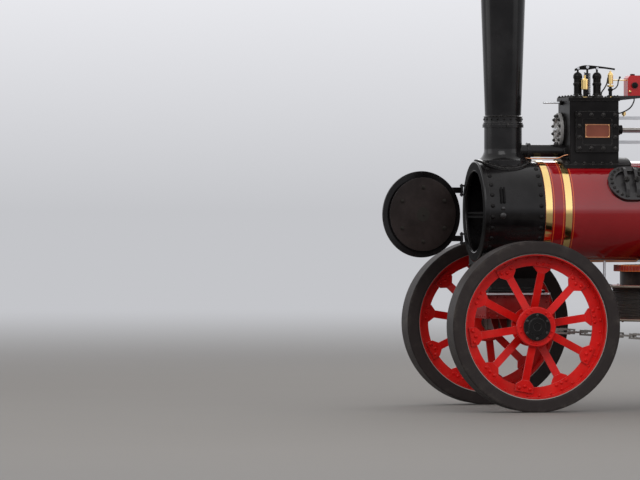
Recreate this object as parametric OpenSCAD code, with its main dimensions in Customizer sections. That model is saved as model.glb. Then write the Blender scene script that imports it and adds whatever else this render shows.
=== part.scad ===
// Steam ploughing engine: a traction engine with a horizontal rope drum under its boiler.
// +X points forward, +Y to the engine's left, +Z up, with the ground at z = 0.
// Positions along the engine are given from the front axle, forward positive.

/* [Layout] */
// Front axle ahead of the middle of the engine's length
front_axle_x = 1922.4; // [1600:0.1:2000]
// Distance from the front axle back to the hind axle
wheelbase = 3350; // [3300:10:3500]
// Height of the boiler's centreline
boiler_z = 1700; // [1690:5:1720]
// Turn of the open smokebox door from shut
door_open = 76; // [60:1:100]

/* [Front wheels] */
// Outer radius of the front tyres
front_tyre_r = 725; // [715:5:735]
// Width of the front tyres
front_tyre_w = 256; // [240:2:270]
// Outer radius of the front rims
front_rim_r = 620; // [600:5:640]
// Width of the front rims
front_rim_w = 225; // [200:5:240]
// Distance from the centreline to the middle of each front wheel
front_track_y = 900; // [880:5:920]
// Number of spokes in a front wheel
front_spokes = 10; // [8:2:12]

/* [Hind wheels] */
// Outer radius of the hind tyres
hind_tyre_r = 1000; // [950:10:1050]
// Width of the hind tyres
hind_tyre_w = 460; // [400:10:500]
// Outer radius of the hind rims
hind_rim_r = 880; // [850:10:900]
// Width of the hind rims
hind_rim_w = 430; // [380:10:440]
// Distance from the centreline to the middle of each hind wheel
hind_track_y = 962; // [950:2:1000]
// Number of spokes on each of a hind wheel's two rings
hind_spokes = 8; // [6:1:10]

/* [Boiler and smokebox] */
// Radius over the boiler's cladding
boiler_r = 437; // [430:1:445]
// Radius of the smokebox shell
smokebox_r = 430; // [420:1:436]
// Thickness of the smokebox shell
smokebox_wall = 14; // [10:1:20]
// Front face of the smokebox ring
smokebox_front_x = 310; // [300:1:320]
// Joint between smokebox and boiler
smokebox_back_x = -224; // [-240:1:-210]
// Front of the firebox
firebox_front_x = -2350; // [-2400:10:-2300]
// Back plate of the firebox
firebox_back_x = -3050; // [-3100:10:-3000]
// Half width of the firebox
firebox_y = 455; // [445:1:465]
// Radius of the opening in the smokebox ring
door_opening_r = 345; // [335:1:355]
// Radius of the smokebox door
door_r = 375; // [365:1:380]

/* [Chimney] */
// Chimney centreline ahead of the front axle
chimney_x = 50; // [30:1:70]
// Outer radius of the chimney at its joint
chimney_low_r = 157; // [150:1:165]
// Outer radius of the chimney under its cap
chimney_top_r = 192; // [180:1:200]
// Height of the chimney's top
chimney_top_z = 3750; // [3600:10:3850]

/* [Engine work] */
// Sideways place of the cylinder's centreline
cylinder_y = -80; // [-90:1:-70]
// Height of the cylinder's centreline and of the crankshaft
cylinder_z = 2408; // [2400:1:2420]
// Crankshaft behind the front axle
crank_x = -2350; // [-2400:5:-2340]
// Throw of the crank
crank_throw = 152; // [140:1:155]
// Radius of the flywheel
flywheel_r = 675; // [650:5:690]
// Width of the flywheel rim
flywheel_w = 150; // [130:5:160]

/* [Winding drum] */
// Drum centre behind the front axle
drum_x = -1500; // [-1510:5:-1490]
// Radius of the drum's flanges
drum_flange_r = 620; // [600:5:625]
// Underside of the drum
drum_low_z = 750; // [740:5:760]
// Top of the drum's upper flange
drum_high_z = 1060; // [1050:5:1070]
// Outside radius of the drum's gear ring
drum_gear_r = 545; // [540:1:550]

/* [Hidden] */
$fn = 64;

// Colours
boiler_red = "#7a1220";
wheel_red = "#c8141a";
drum_red = "#c23a1c";
satin_black = "#16161a";
steel = "#8c8f94";
brass_gold = "#c9a04a";
rubber_grey = "#2c2c2e";
rope_grey = "#77756f";

// Gap between faces that pass one another, and play of a shaft in its bore
gap = 0.3;
bore_play = 0.05;
hinge_play = 0.6;
// Cut that runs out past the faces it opens
through = 1000;
hind_axle_x = -wheelbase;

// Helpers

// Places measured from the front axle
module at(x = 0, y = 0, z = 0) {
  translate([front_axle_x + x, y, z])
    children();
}

// Round bar along X between two stations
module bar_x(r, x0, x1) {
  translate([min(x0, x1), 0, 0])
    rotate([0, 90, 0])
      cylinder(r = r, h = abs(x1 - x0));
}

// Round bar along Y between two stations
module bar_y(r, y0, y1) {
  translate([0, min(y0, y1), 0])
    rotate([-90, 0, 0])
      cylinder(r = r, h = abs(y1 - y0));
}

// Round bar upright between two heights
module bar_z(r, z0, z1) {
  translate([0, 0, min(z0, z1)])
    cylinder(r = r, h = abs(z1 - z0));
}

// Box between two corners
module box(low, high) {
  translate(low)
    cube(high - low);
}

// Flat pattern in the X and Z directions, thickened sideways from y0 to y1
module plate_y(y0, y1) {
  translate([0, max(y0, y1), 0])
    rotate([90, 0, 0])
      linear_extrude(height = abs(y1 - y0))
        children();
}

// Flat pattern in the Y and Z directions, thickened lengthwise from x0 to x1
module plate_x(x0, x1) {
  translate([min(x0, x1), 0, 0])
    rotate([90, 0, 90])
      linear_extrude(height = abs(x1 - x0))
        children();
}

// Flat pattern of radius and distance along X, turned about X
module turned_x() {
  rotate([0, 90, 0])
    rotate_extrude()
      children();
}

// Rectangle with round corners
module round_rect(low, high, r) {
  for (x = [low.x + r, high.x - r], y = [low.y + r, high.y - r])
    translate([x, y])
      circle(r = r);
  translate([low.x + r, low.y])
    square([high.x - low.x - 2 * r, high.y - low.y]);
  translate([low.x, low.y + r])
    square([high.x - low.x, high.y - low.y - 2 * r]);
}

// Both sides of the engine: the children as they stand on the left, and their mirror image
module both_sides() {
  children();
  mirror([0, 1, 0])
    children();
}

// Circle of copies about Z
module around(count, first = 0) {
  for (i = [0 : count - 1])
    rotate([0, 0, first + i * 360 / count])
      children();
}

// Outline of a spur gear with flat-topped teeth, with a tooth centred on the angle aim
tooth_corners = [[-0.29, 0], [-0.15, 1], [0.15, 1], [0.29, 0]];
function gear_points(tip_r, depth, teeth, aim = 0) = [
  for (tooth = [0 : teeth - 1], corner = tooth_corners)
    let (angle = aim + 360 * (tooth + corner[0]) / teeth, r = tip_r - (1 - corner[1]) * depth)
      [r * cos(angle), r * sin(angle)]
];

// Turns a gear by half a tooth, so that a gap faces the angle aim
function gap_aim(aim, teeth) = aim + 180 / teeth;

// Boiler

module boiler_barrel() {
  color(boiler_red)
    at(z = boiler_z)
      bar_x(boiler_r, smokebox_back_x, firebox_front_x);
}

// Brass bands round the cladding: [front, back]
BANDS = [[-226, -284], [-400, -458], [-1790, -1836], [-2280, -2330]];
band_thick = 4;

module boiler_bands() {
  color(brass_gold)
    for (band = BANDS)
      at(z = boiler_z)
        turned_x()
          translate([boiler_r + gap, band[1]])
            square([band_thick - gap, band[0] - band[1]]);
}

// Firebox, its fire hole and the hinge of its door
fire_hole_z = 1480;
fire_hole_r = 150;
fire_hinge_y = 215;
foundation_z = 760;

module firebox() {
  color(boiler_red)
    at()
      difference() {
        union() {
          plate_x(firebox_back_x, firebox_front_x)
            union() {
              translate([0, boiler_z])
                circle(r = firebox_y);
              translate([-firebox_y, foundation_z])
                square([2 * firebox_y, boiler_z - foundation_z]);
            }
          translate([firebox_back_x, 0, fire_hole_z])
            bar_x(fire_hole_r + 35, -2, 10);
        }
        translate([firebox_back_x, 0, fire_hole_z])
          bar_x(fire_hole_r, -5, 120);
      }
  color(boiler_red)
    at(firebox_back_x - 14, fire_hinge_y, fire_hole_z)
      union() {
        bar_z(7, -128, 128);
        box([-12, -12, -60], [15, 12, 60]);
      }
}

// Side plates that carry the crankshaft and hind axle
horn_thick = 20;
horn_outer = firebox_y + horn_thick;
horn_front_x = -2330;
crank_block_r = 88;

module horn_outline() {
  difference() {
    union() {
      polygon([[horn_front_x, 800], [horn_front_x, 1700], [crank_x + 150, 2130],
        [crank_x + 150, cylinder_z], [crank_x - 150, cylinder_z], [crank_x - 230, 2290],
        [-2900, 2220], [-3060, 2220], [-3180, 2100], [-3180, 1900], [-3560, 1450],
        [-3560, 800]]);
      translate([crank_x, cylinder_z])
        circle(r = 150);
      translate([-3060, 2100])
        circle(r = 120);
    }
    translate([-3560, 1850])
      circle(r = 300);
  }
}

module hornplates() {
  color(boiler_red)
    at()
      both_sides()
        difference() {
          union() {
            plate_y(firebox_y, horn_outer)
              horn_outline();
            translate([crank_x, 0, cylinder_z])
              bar_y(crank_block_r, firebox_y - 20, horn_outer + 35);
            box([crank_x - 120, horn_outer - 1, cylinder_z - 120],
              [crank_x + 120, horn_outer + 8, cylinder_z - 80]);
          }
          translate([crank_x, 0, cylinder_z])
            bar_y(49, 0, through);
          translate([hind_axle_x, 0, hind_tyre_r])
            bar_y(hind_axle_r, 0, through);
          translate([0, -5, boiler_z])
            bar_x(firebox_y - 4, firebox_back_x, 0);
        }
}

// Smokebox

ring_nose_r = 14;
ring_back_x = smokebox_front_x - 2 * ring_nose_r;
ring_step_x = smokebox_front_x - 46;

// Room that the smokebox and the front of the boiler take up under a fitting
module shell_room() {
  bar_x(smokebox_r + gap, smokebox_back_x, 400, $fn = 192);
  bar_x(smokebox_r + 8 + gap, ring_step_x - 1, 400, $fn = 192);
  bar_x(boiler_r + band_thick + 1, -400, smokebox_back_x + 1, $fn = 192);
}

module smokebox() {
  color(satin_black)
    difference() {
      at(z = boiler_z)
        turned_x()
          union() {
            translate([smokebox_r - smokebox_wall, smokebox_back_x + gap])
              square([smokebox_wall, smokebox_front_x - smokebox_back_x - 30]);
            translate([smokebox_r - smokebox_wall, ring_step_x])
              square([smokebox_wall + 8, 32]);
            translate([door_opening_r, ring_back_x])
              square([smokebox_r + 8 - door_opening_r, ring_nose_r]);
            translate([door_opening_r + ring_nose_r, ring_back_x])
              square([smokebox_r + 8 - door_opening_r - 2 * ring_nose_r, 2 * ring_nose_r]);
            for (r = [door_opening_r + ring_nose_r, smokebox_r + 8 - ring_nose_r])
              translate([r, smokebox_front_x - ring_nose_r])
                circle(r = ring_nose_r);
          }
      at(chimney_x, 0, boiler_z)
        bar_z(135, 300, 500);
    }
  color(satin_black)
    for (height = [-210, 210])
      at(door_hinge_x, door_hinge_y, door_z + height)
        difference() {
          union() {
            for (z = [-48, 30]) {
              box([-44, -8, z], [-14, 70, z + 18]);
              box([-44, -16, z], [0, 16, z + 18]);
              bar_z(16, z, z + 18);
            }
            bar_z(door_pin_r, -56, 56);
          }
          translate([-door_hinge_x, -door_hinge_y, boiler_z - door_z - height])
            bar_x(door_opening_r + 8, 0, smokebox_front_x - 10);
        }
}

// Smokebox door, turned about an upright hinge on the right of the ring
door_hinge_x = 326;
door_hinge_y = -395;
door_z = 1675;
door_pin_r = 8;
door_knuckle_r = 14;
door_face_x = smokebox_front_x + 3;

module tube_plate() {
  color(satin_black)
    at(smokebox_back_x + gap, 0, boiler_z)
      difference() {
        bar_x(smokebox_r - smokebox_wall - 1, 0, 14);
        for (row = [-4 : 4], col = [-4 : 4])
          if (norm([row, col + (row % 2) / 2]) * 74 < 330)
            translate([0, (col + (row % 2) / 2) * 74, row * 66 - 20])
              bar_x(25, 5, 20);
      }
}

module door_crossbar() {
  color(satin_black)
    for (height = [-16, 16])
      at(ring_back_x - 22, 0, boiler_z - 30 + height)
        box([0, -395, -10], [22, 395, 10]);
}

// Chimney

chimney_base_r = 164;
flare_r = 110;
flare_top_z = 2240;
saddle_r = 245;
joint_z = 2452;

// Section of the lower chimney's flare, as radius and height
module flare_section(outer_r) {
  difference() {
    translate([150, 1990])
      square([outer_r - 150, flare_top_z - 1990]);
    translate([chimney_base_r + flare_r, flare_top_z])
      circle(r = flare_r);
  }
}

module chimney_base() {
  color(satin_black)
    difference() {
      at(chimney_x)
        union() {
          rotate_extrude($fn = 192)
            union() {
              flare_section(224);
              translate([150, flare_top_z - 1])
                square([chimney_base_r - 150, joint_z - flare_top_z + 1]);
              translate([150, joint_z - 27])
                square([28, 27]);
            }
          intersection() {
            bar_z(saddle_r, 1950, 2200);
            translate([-chimney_x, 0, boiler_z])
              bar_x(smokebox_r + 20, -400, 400);
          }
          both_sides()
            box([-14, 170, joint_z - 24], [14, 205, joint_z - 6]);
        }
      at(z = boiler_z)
        shell_room();
      at(chimney_x)
        bar_z(150, 1900, 2600, $fn = 192);
    }
}

module chimney_barrel() {
  lip = 18;
  band_top = joint_z + 68;
  color(satin_black)
    at(chimney_x)
      rotate_extrude()
        union() {
          polygon([[146, joint_z + gap], [172, joint_z + gap], [172, joint_z + 16],
            [166, joint_z + 20], [166, band_top - 8], [170, band_top],
            [chimney_low_r, band_top + 8], [chimney_top_r, chimney_top_z - 210],
            [chimney_top_r + 16, chimney_top_z - 150], [chimney_top_r + 26, chimney_top_z - lip],
            [chimney_top_r + 26, chimney_top_z], [chimney_top_r - 10, chimney_top_z]]);
          translate([chimney_top_r + 26, chimney_top_z - lip])
            circle(r = lip);
        }
}

// Cylinder block and its fittings

block_front_x = -493;
block_back_x = -929;
block_y = 220;
block_top_z = 2655;
cover_top_z = 2685;
saddle_thick = 27;

// The part of a ring round the boiler that a plan outline cuts out
module boiler_foot(thick, x0, x1, y0, y1) {
  intersection() {
    translate([0, 0, boiler_z])
      turned_x()
        translate([boiler_r + band_thick + 1, x0])
          square([thick, x1 - x0]);
    translate([0, 0, boiler_z])
      linear_extrude(height = through)
        round_rect([x0, y0], [x1, y1], 24);
  }
}

module cylinder_block() {
  color(satin_black)
    at()
      union() {
        difference() {
          union() {
            translate([0, 0, 1950])
              linear_extrude(height = block_top_z - 1950)
                round_rect([block_back_x, -block_y], [block_front_x, block_y], 22);
            translate([0, 0, block_top_z])
              linear_extrude(height = cover_top_z - block_top_z)
                round_rect([block_back_x - 12, -block_y - 12],
                  [block_front_x + 12, block_y + 12], 30);
            translate([0, cylinder_y, cylinder_z]) {
              bar_x(152, block_front_x, block_front_x + 18);
              bar_x(146, block_back_x - 18, block_back_x);
              bar_x(62, block_back_x - 60, block_back_x);
              bar_x(44, block_back_x - 84, block_back_x);
            }
            translate([0, 150, cylinder_z])
              bar_x(40, block_back_x - 40, block_back_x);
            box([block_back_x + 60, -block_y - 26, 2300], [block_front_x - 60, 0, 2560]);
          }
          translate([0, 0, boiler_z])
            bar_x(boiler_r + band_thick + 1, -1100, -400);
          translate([0, cylinder_y, cylinder_z])
            bar_x(rod_r + 2, block_back_x - 100, -800);
          translate([0, 150, cylinder_z])
            bar_x(valve_rod_r + 2, block_back_x - 100, -800);
        }
        boiler_foot(saddle_thick, -1038, -433, -238, 238);
      }
}

// Cover of the valve chest on the left side: [front, back] and [low, high]
chest_x = [-537, -920];
chest_z = [2212, 2565];

module valve_chest_cover() {
  color(satin_black)
    at()
      difference() {
        plate_y(block_y, block_y + 26)
          round_rect([chest_x[1], chest_z[0]], [chest_x[0], chest_z[1]], 12);
        plate_y(block_y + 20, block_y + 30)
          round_rect([chest_x[1] + 62, chest_z[0] + 62],
            [chest_x[0] - 62, chest_z[1] - 62], 8);
      }
}

module cylinder_cover() {
  color(steel)
    at(block_front_x + 18, cylinder_y, cylinder_z)
      turned_x()
        polygon([[0, 0], [148, 0], [148, 20], [142, 26], [104, 26], [98, 10], [62, 10],
          [56, 34], [0, 34]]);
}

// Safety valves: [place of each column along the engine]
VALVE_COLUMNS = [-616, -787];
lever_peak_x = -690;
lever_peak_z = 2969;

// Upper edge of the safety valves' lever at a station, and the depth of its section there
function lever_top(x) = lever_peak_z - (x > lever_peak_x
  ? 0.0032 * pow(x - lever_peak_x, 2)
  : 27 * pow((lever_peak_x - x) / 256, 1.4));
function lever_depth(x) = 15 + 25 * exp(-pow((x - lever_peak_x) / 80, 2));

module safety_valves() {
  stations = [for (x = [-590 : -17.8 : -947]) x];
  last = len(stations) - 1;
  color(satin_black)
    at()
      union() {
        for (x = VALVE_COLUMNS)
          translate([x, 0, 0])
            rotate_extrude()
              union() {
                polygon([[0, cover_top_z], [56, cover_top_z], [56, 2702], [42, 2708], [34, 2724],
                  [34, 2790], [40, 2796], [40, 2812], [34, 2818], [34, 2850],
                  [40, 2856], [40, 2876], [0, 2876]]);
                intersection() {
                  translate([0, 2870])
                    circle(r = 40);
                  translate([0, 2870])
                    square([40, 40]);
                }
                translate([0, 2870])
                  square([9, 72]);
              }
        plate_y(-11, 11)
          polygon(concat(
            [for (x = stations) [x, lever_top(x)]],
            [for (i = [last : -1 : 0]) [stations[i], lever_top(stations[i])
              - lever_depth(stations[i])]]));
        translate([-701, 0, 0])
          union() {
            bar_z(9, cover_top_z, 2960);
            bar_z(24, cover_top_z, 2702);
          }
      }
}

module safety_valve_casing() {
  color(brass_gold)
    at(-660, 72, 0)
      rotate_extrude()
        polygon([[0, cover_top_z], [26, cover_top_z], [26, 2694], [12, 2700], [12, 2752],
          [31, 2758], [31, 2838], [22, 2848], [10, 2852], [10, 2880], [0, 2880]]);
}

module whistle() {
  color(brass_gold)
    at(-892, 60, 0)
      rotate_extrude()
        polygon([[0, cover_top_z], [30, cover_top_z], [30, 2697], [14, 2702], [14, 2745],
          [20, 2750], [20, 2764], [10, 2768], [10, 2776], [28, 2782], [28, 2796],
          [6, 2800], [6, 2806], [24, 2806], [24, 2886], [16, 2902], [8, 2908],
          [8, 2920], [0, 2920]]);
}

exhaust_y = 30;
exhaust_z = 2225;
exhaust_r = 55;

module exhaust_pipe() {
  color(satin_black)
    at(0, exhaust_y, exhaust_z)
      difference() {
        union() {
          bar_x(exhaust_r, block_front_x, -90);
          plate_x(block_front_x, block_front_x + 20)
            round_rect([-75, -50], [75, 22], 12);
          bar_x(70, -178, -152);
        }
        translate([chimney_x, -exhaust_y, -exhaust_z])
          rotate_extrude($fn = 192)
            union() {
              translate([gap, 0])
                flare_section(224);
              square([chimney_base_r + gap, 3 * through]);
            }
      }
}

// Manhole on the left shoulder of the boiler
manhole_x = -992;
manhole_tilt = 56;
manhole_half = 172;

module manhole_oval(r) {
  for (side = [-1, 1])
    translate([side * 30, 0])
      circle(r = r);
  square([60, 2 * r], center = true);
}

module manhole() {
  face = boiler_r + 34;
  color(satin_black)
    at(manhole_x, 0, boiler_z)
      rotate([-manhole_tilt, 0, 0])
        union() {
          intersection() {
            linear_extrude(height = through)
              difference() {
                manhole_oval(manhole_half);
                manhole_oval(manhole_half - 58);
              }
            turned_x()
              translate([boiler_r + gap, -400])
                square([face - boiler_r - gap, 800]);
          }
          intersection() {
            linear_extrude(height = through)
              manhole_oval(manhole_half - 58 + 1);
            turned_x()
              translate([boiler_r + gap, -400])
                square([10, 800]);
          }
          for (x = [-46, 46])
            translate([x, 0, 0]) {
              plate_x(-13, 13)
                polygon([[-150, face - 26], [-150, face - 8], [-104, face + 24],
                  [104, face + 24], [150, face - 8], [150, face - 26],
                  [122, face - 26], [92, face + 2], [-92, face + 2],
                  [-122, face - 26]]);
              bar_z(12, boiler_r + 8, face + 52);
              bar_z(22, face + 20, face + 42);
            }
        }
}

// Motion

rod_r = 24;
slide_back_x = -1700;

module slide_bars() {
  color(steel)
    at()
      difference() {
        union() {
          translate([0, cylinder_y, cylinder_z])
            for (side = [-1, 1])
              box([slide_back_x, -32, side * 105 - 14],
                [block_back_x - 18, 32, side * 105 + 14]);
          translate([0, cylinder_y, cylinder_z])
            plate_x(slide_back_x, slide_back_x + 26)
              difference() {
                union() {
                  round_rect([-80, -150], [80, 150], 30);
                  polygon([[-80, -120], [-130, -330], [130, -330], [80, -120]]);
                }
                round_rect([-50, -91], [50, 91], 20);
              }
          boiler_foot(16, slide_back_x - 40, slide_back_x + 66, cylinder_y - 130,
            cylinder_y + 130);
        }
        translate([0, 0, boiler_z])
          bar_x(boiler_r + band_thick + 1, -2300, -900);
      }
}

// Crosshead, and the rod as far as the circle that the big end sweeps
big_end_r = 80;
big_end_clear = 8;
crosshead_x = -1300;

module connecting_rod() {
  swept_x = crank_x + crank_throw + big_end_r;
  color(steel)
    at(0, cylinder_y, cylinder_z)
      union() {
        bar_x(rod_r, crosshead_x, block_back_x - 10);
        difference() {
          plate_y(-34, 34)
            polygon([[crosshead_x - 80, -91 + gap], [crosshead_x + 80, -91 + gap],
              [crosshead_x + 80, -70], [crosshead_x + 44, -46],
              [crosshead_x + 44, 46], [crosshead_x + 80, 70],
              [crosshead_x + 80, 91 - gap], [crosshead_x - 80, 91 - gap],
              [crosshead_x - 80, 70], [crosshead_x - 44, 46],
              [crosshead_x - 44, -46], [crosshead_x - 80, -70]]);
        }
        translate([crosshead_x, 0, 0])
          bar_y(24, -46, 46);
        translate([crosshead_x, 0, 0])
          rotate([0, -90, 0])
            cylinder(r1 = 26, r2 = 36, h = crosshead_x - swept_x - big_end_clear);
      }
}

// Eccentrics: [sideways place of the strap, angle of the sheave's centre from the crank]
ECCENTRICS = [[85, 100], [152, -100]];
ecc_throw = 58;
ecc_strap_r = 128;
ecc_reach = ecc_throw + ecc_strap_r + 8;
link_r = 700;
link_pin_z = 118;
valve_rod_r = 16;
weigh_x = -1520;
weigh_z = 190;

// Length of a line from a point along a unit direction until it meets a circle about the origin
function run_to_circle(from, along, r) =
  let (b = from * along)
    -b - sqrt(b * b - from * from + r * r);

// Slotted link, drawn about the crankshaft
module link_outline() {
  difference() {
    intersection() {
      circle(r = link_r + 26);
      translate([0, -145])
        square([through, 290]);
    }
    circle(r = link_r - 26);
    intersection() {
      difference() {
        circle(r = link_r + 11);
        circle(r = link_r - 11);
      }
      translate([0, -96])
        square([through, 192]);
    }
  }
}

module valve_gear() {
  color(steel)
    at(0, 0, cylinder_z)
      union() {
        translate([crank_x, 0, 0])
          union() {
            plate_y(104, 132)
              link_outline($fn = 192);
            for (ecc = ECCENTRICS) {
              pin = [sqrt(link_r * link_r - link_pin_z * link_pin_z),
                sign(ecc[1]) * link_pin_z];
              aim = ecc_throw * [cos(ecc[1]), sin(ecc[1])] - pin;
              along = aim / norm(aim);
              translate([pin.x, 0, pin.y])
                rotate([0, -atan2(along.y, along.x), 0])
                  box([0, ecc[0] - 9, -17],
                    [run_to_circle(pin, along, ecc_reach), ecc[0] + 9, 17]);
              translate([pin.x, 0, pin.y])
                bar_y(15, 76, 161);
            }
            translate([link_r, 0, 0])
              box([-20, 94, -24], [20, 142, 24]);
          }
        translate([0, valve_y, 0])
          bar_x(valve_rod_r, crank_x + link_r - 10, block_back_x - 20);
        translate([weigh_x, 0, weigh_z])
          union() {
            bar_y(22, 60, 310);
            plate_y(60, 84)
              polygon([[-20, 24], [20, 24], [-96, -60], [-128, -60]]);
            plate_y(286, 310)
              polygon([[-24, 0], [24, 0], [12, 200], [-12, 200]]);
          }
        translate([weigh_x - 120, 0, 0])
          union() {
            box([-14, 74, -20], [14, 90, weigh_z - 35]);
            bar_y(13, 74, 100);
          }
      }
  color(steel)
    at(weigh_x, 0, 0)
      difference() {
        plate_x(-16, 16)
          polygon([[190, cylinder_z + weigh_z + 34], [250, cylinder_z + weigh_z + 34],
            [270, 1950], [175, 1950]]);
        translate([0, 0, boiler_z])
          bar_x(boiler_r + band_thick + 1, -200, 200, $fn = 192);
      }
}
valve_y = 150;

module lubricator() {
  color(wheel_red)
    at()
      plate_y(-60, 80)
        polygon([[-1163, 2702], [-1043, 2702], [-1043, 2858], [-1065, 2880],
          [-1163, 2880]]);
  color(satin_black)
    at()
      union() {
        plate_y(-80, 100)
          polygon([[-1180, 2686], [block_back_x - 12, 2660], [block_back_x - 12, 2685],
            [block_back_x + 5, 2685 + gap], [block_back_x + 5, 2702],
            [-1180, 2702]]);
        translate([-1103, 10, 0])
          bar_z(20, 2875, 2894);
        translate([-1103, 0, 2795])
          bar_y(26, 75, 98);
      }
}

// Front carriage

turntable_z = 1000;
kingpin_r = 35;
carriage_x = 280;
carriage_y = 340;
axle_beam_half = 55;
front_journal_r = 40;

module perch_bracket() {
  color(satin_black)
    difference() {
      at()
        union() {
          intersection() {
            plate_y(-through, through)
              polygon([[-290, 1340], [290, 1340], [290, 1215], [205, 1110],
                [205, 1040], [250, 1022], [250, 1001], [-250, 1001],
                [-250, 1022], [-205, 1040], [-205, 1110], [-290, 1215]]);
            plate_x(-through, through)
              polygon([[-270, 1340], [270, 1340], [270, 1260], [170, 1120],
                [170, 1040], [300, 1022], [300, 1001], [-300, 1001],
                [-300, 1022], [-170, 1040], [-170, 1120], [-270, 1260]]);
          }
          bar_z(kingpin_r, turntable_z - 160, turntable_z + 20);
          bar_z(kingpin_r + 25, turntable_z - 182, turntable_z - 160);
        }
      at(z = boiler_z)
        shell_room();
    }
}

module forecarriage() {
  wall = 18;
  color(boiler_red)
    at()
      difference() {
        union() {
          translate([0, 0, turntable_z - 16])
            linear_extrude(height = 16)
              round_rect([-290, -370], [290, 370], 40);
          difference() {
            box([-carriage_x, -carriage_y, 780], [carriage_x, carriage_y, turntable_z - 10]);
            box([-carriage_x + wall, -carriage_y + wall, 700],
              [carriage_x - wall, carriage_y - wall, turntable_z - 16]);
          }
          for (y = [-150, 150])
            box([-carriage_x + 5, y - 9, 780], [carriage_x - 5, y + 9, turntable_z - 10]);
          bar_z(75, 845, turntable_z - 10);
          for (side = [-1, 1])
            plate_y(side * 168, side * 150)
              polygon([[-130, 790], [-90, 670], [90, 670], [130, 790]]);
        }
        bar_z(kingpin_r + bore_play, turntable_z - 250, turntable_z + 20);
        translate([0, 0, front_tyre_r])
          box([-axle_beam_half, -400, -axle_beam_half], [axle_beam_half, 400, axle_beam_half]);
      }
}

steer_arm_y = 350;

module front_axle() {
  color(satin_black)
    at(0, 0, front_tyre_r)
      union() {
        box([-axle_beam_half, -640, -axle_beam_half], [axle_beam_half, 640, axle_beam_half]);
        bar_y(front_journal_r, -1030, 1030);
        both_sides()
          union() {
            translate([0, 640, 0])
              rotate([-90, 0, 0])
                cylinder(r1 = 66, r2 = 52, h = 100);
            bar_y(62, 740, 772);
            translate([0, 0, -10])
              linear_extrude(height = 20)
                difference() {
                  union() {
                    translate([-220, steer_arm_y])
                      circle(r = 30);
                    polygon([[-220, steer_arm_y - 30],
                      [-axle_beam_half, steer_arm_y - 60],
                      [-axle_beam_half, steer_arm_y + 60],
                      [-220, steer_arm_y + 30]]);
                  }
                  translate([-220, steer_arm_y])
                    circle(r = 13);
                }
          }
      }
}

// Wheels are drawn about Z with the outer face up, then stood up on their axles

module wheel_at(x, y, z) {
  at(x, y, z)
    rotate([y > 0 ? -90 : 90, 0, 0])
      children();
}

// Flat rubber band round a rim
module tyre(rim_r, outer_r, width) {
  color(rubber_grey)
    rotate_extrude()
      translate([rim_r + gap, -width / 2])
        square([outer_r - rim_r - gap, width]);
}

// One flat spoke with a splayed foot: out from the hub flange, then flat along the ring's web
module spoke(hub_r, bend_r, foot_r, hub_z, web_z, thick, width, foot_width) {
  rotate([90, 0, 0])
    linear_extrude(height = width, center = true)
      polygon([[hub_r, hub_z], [bend_r, web_z], [foot_r - 20, web_z],
        [foot_r - 20, web_z + thick], [bend_r, web_z + thick], [hub_r, hub_z + thick]]);
  translate([0, 0, web_z - 2])
    linear_extrude(height = thick + 3)
      polygon([[bend_r + 6, -width / 2 - 2], [bend_r + 44, -foot_width / 2],
        [foot_r, -foot_width / 2 - 4], [foot_r, foot_width / 2 + 4],
        [bend_r + 44, foot_width / 2], [bend_r + 6, width / 2 + 2]]);
}

// Hub section on one side of a wheel, from the barrel out to the face of its flange
module hub_end(barrel_r, flange_r, face_z, flange_t) {
  rotate_extrude()
    polygon([[0, 0], [barrel_r, 0], [barrel_r, face_z - flange_t - 14],
      [barrel_r + 14, face_z - flange_t], [flange_r, face_z - flange_t],
      [flange_r, face_z - 7], [flange_r - 7, face_z], [0, face_z]]);
}

module front_wheel() {
  half = front_rim_w / 2;
  web = 8;
  thick = 16;
  color(wheel_red)
    difference() {
      union() {
        translate([0, 0, -half])
          difference() {
            cylinder(r = front_rim_r, h = front_rim_w);
            translate([0, 0, -1])
              cylinder(r = front_rim_r - 18, h = front_rim_w + 2);
          }
        translate([0, 0, -web])
          difference() {
            cylinder(r = front_rim_r - 10, h = 2 * web);
            translate([0, 0, -1])
              cylinder(r = 514, h = 2 * web + 2);
          }
        around(front_spokes / 2, 9)
          spoke(110, 455, 560, half - 24 - thick, web, thick, 65, 150);
        around(front_spokes / 2, 45)
          mirror([0, 0, 1])
            spoke(110, 455, 560, half - 24 - thick, web, thick, 65, 150);
        for (side = [0, 1])
          mirror([0, 0, side])
            hub_end(112, 170, half, 24);
      }
      cylinder(r = front_journal_r + bore_play, h = 400, center = true);
    }
}

module hub_cap(z0, r, proud) {
  color(satin_black)
    translate([0, 0, z0])
      rotate_extrude()
        polygon([[0, 0], [r, 0], [r, proud * 0.4], [r - 5, proud * 0.6],
          [r * 0.66, proud * 0.6], [r * 0.6, proud], [r * 0.3, proud],
          [r * 0.27, proud * 0.5], [0, proud * 0.5]]);
}

module hind_wheel() {
  half = hind_rim_w / 2;
  web = 9;
  ring_z = 105;
  hub_half = 225;
  thick = 20;
  color(wheel_red)
    difference() {
      union() {
        translate([0, 0, -half])
          difference() {
            cylinder(r = hind_rim_r, h = hind_rim_w);
            translate([0, 0, -1])
              cylinder(r = hind_rim_r - 20, h = hind_rim_w + 2);
          }
        for (side = [0, 1])
          mirror([0, 0, side]) {
            translate([0, 0, ring_z - web])
              difference() {
                cylinder(r = hind_rim_r - 10, h = 2 * web);
                translate([0, 0, -1])
                  cylinder(r = hind_rim_r - 115, h = 2 * web + 2);
              }
            around(hind_spokes, side * 180 / hind_spokes)
              spoke(140, 700, 815, hub_half - 30 - thick, ring_z + web, thick, 85, 190);
            hub_end(150, 230, hub_half, 30);
          }
      }
      cylinder(r = hind_axle_r + bore_play, h = 800, center = true);
    }
}

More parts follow.
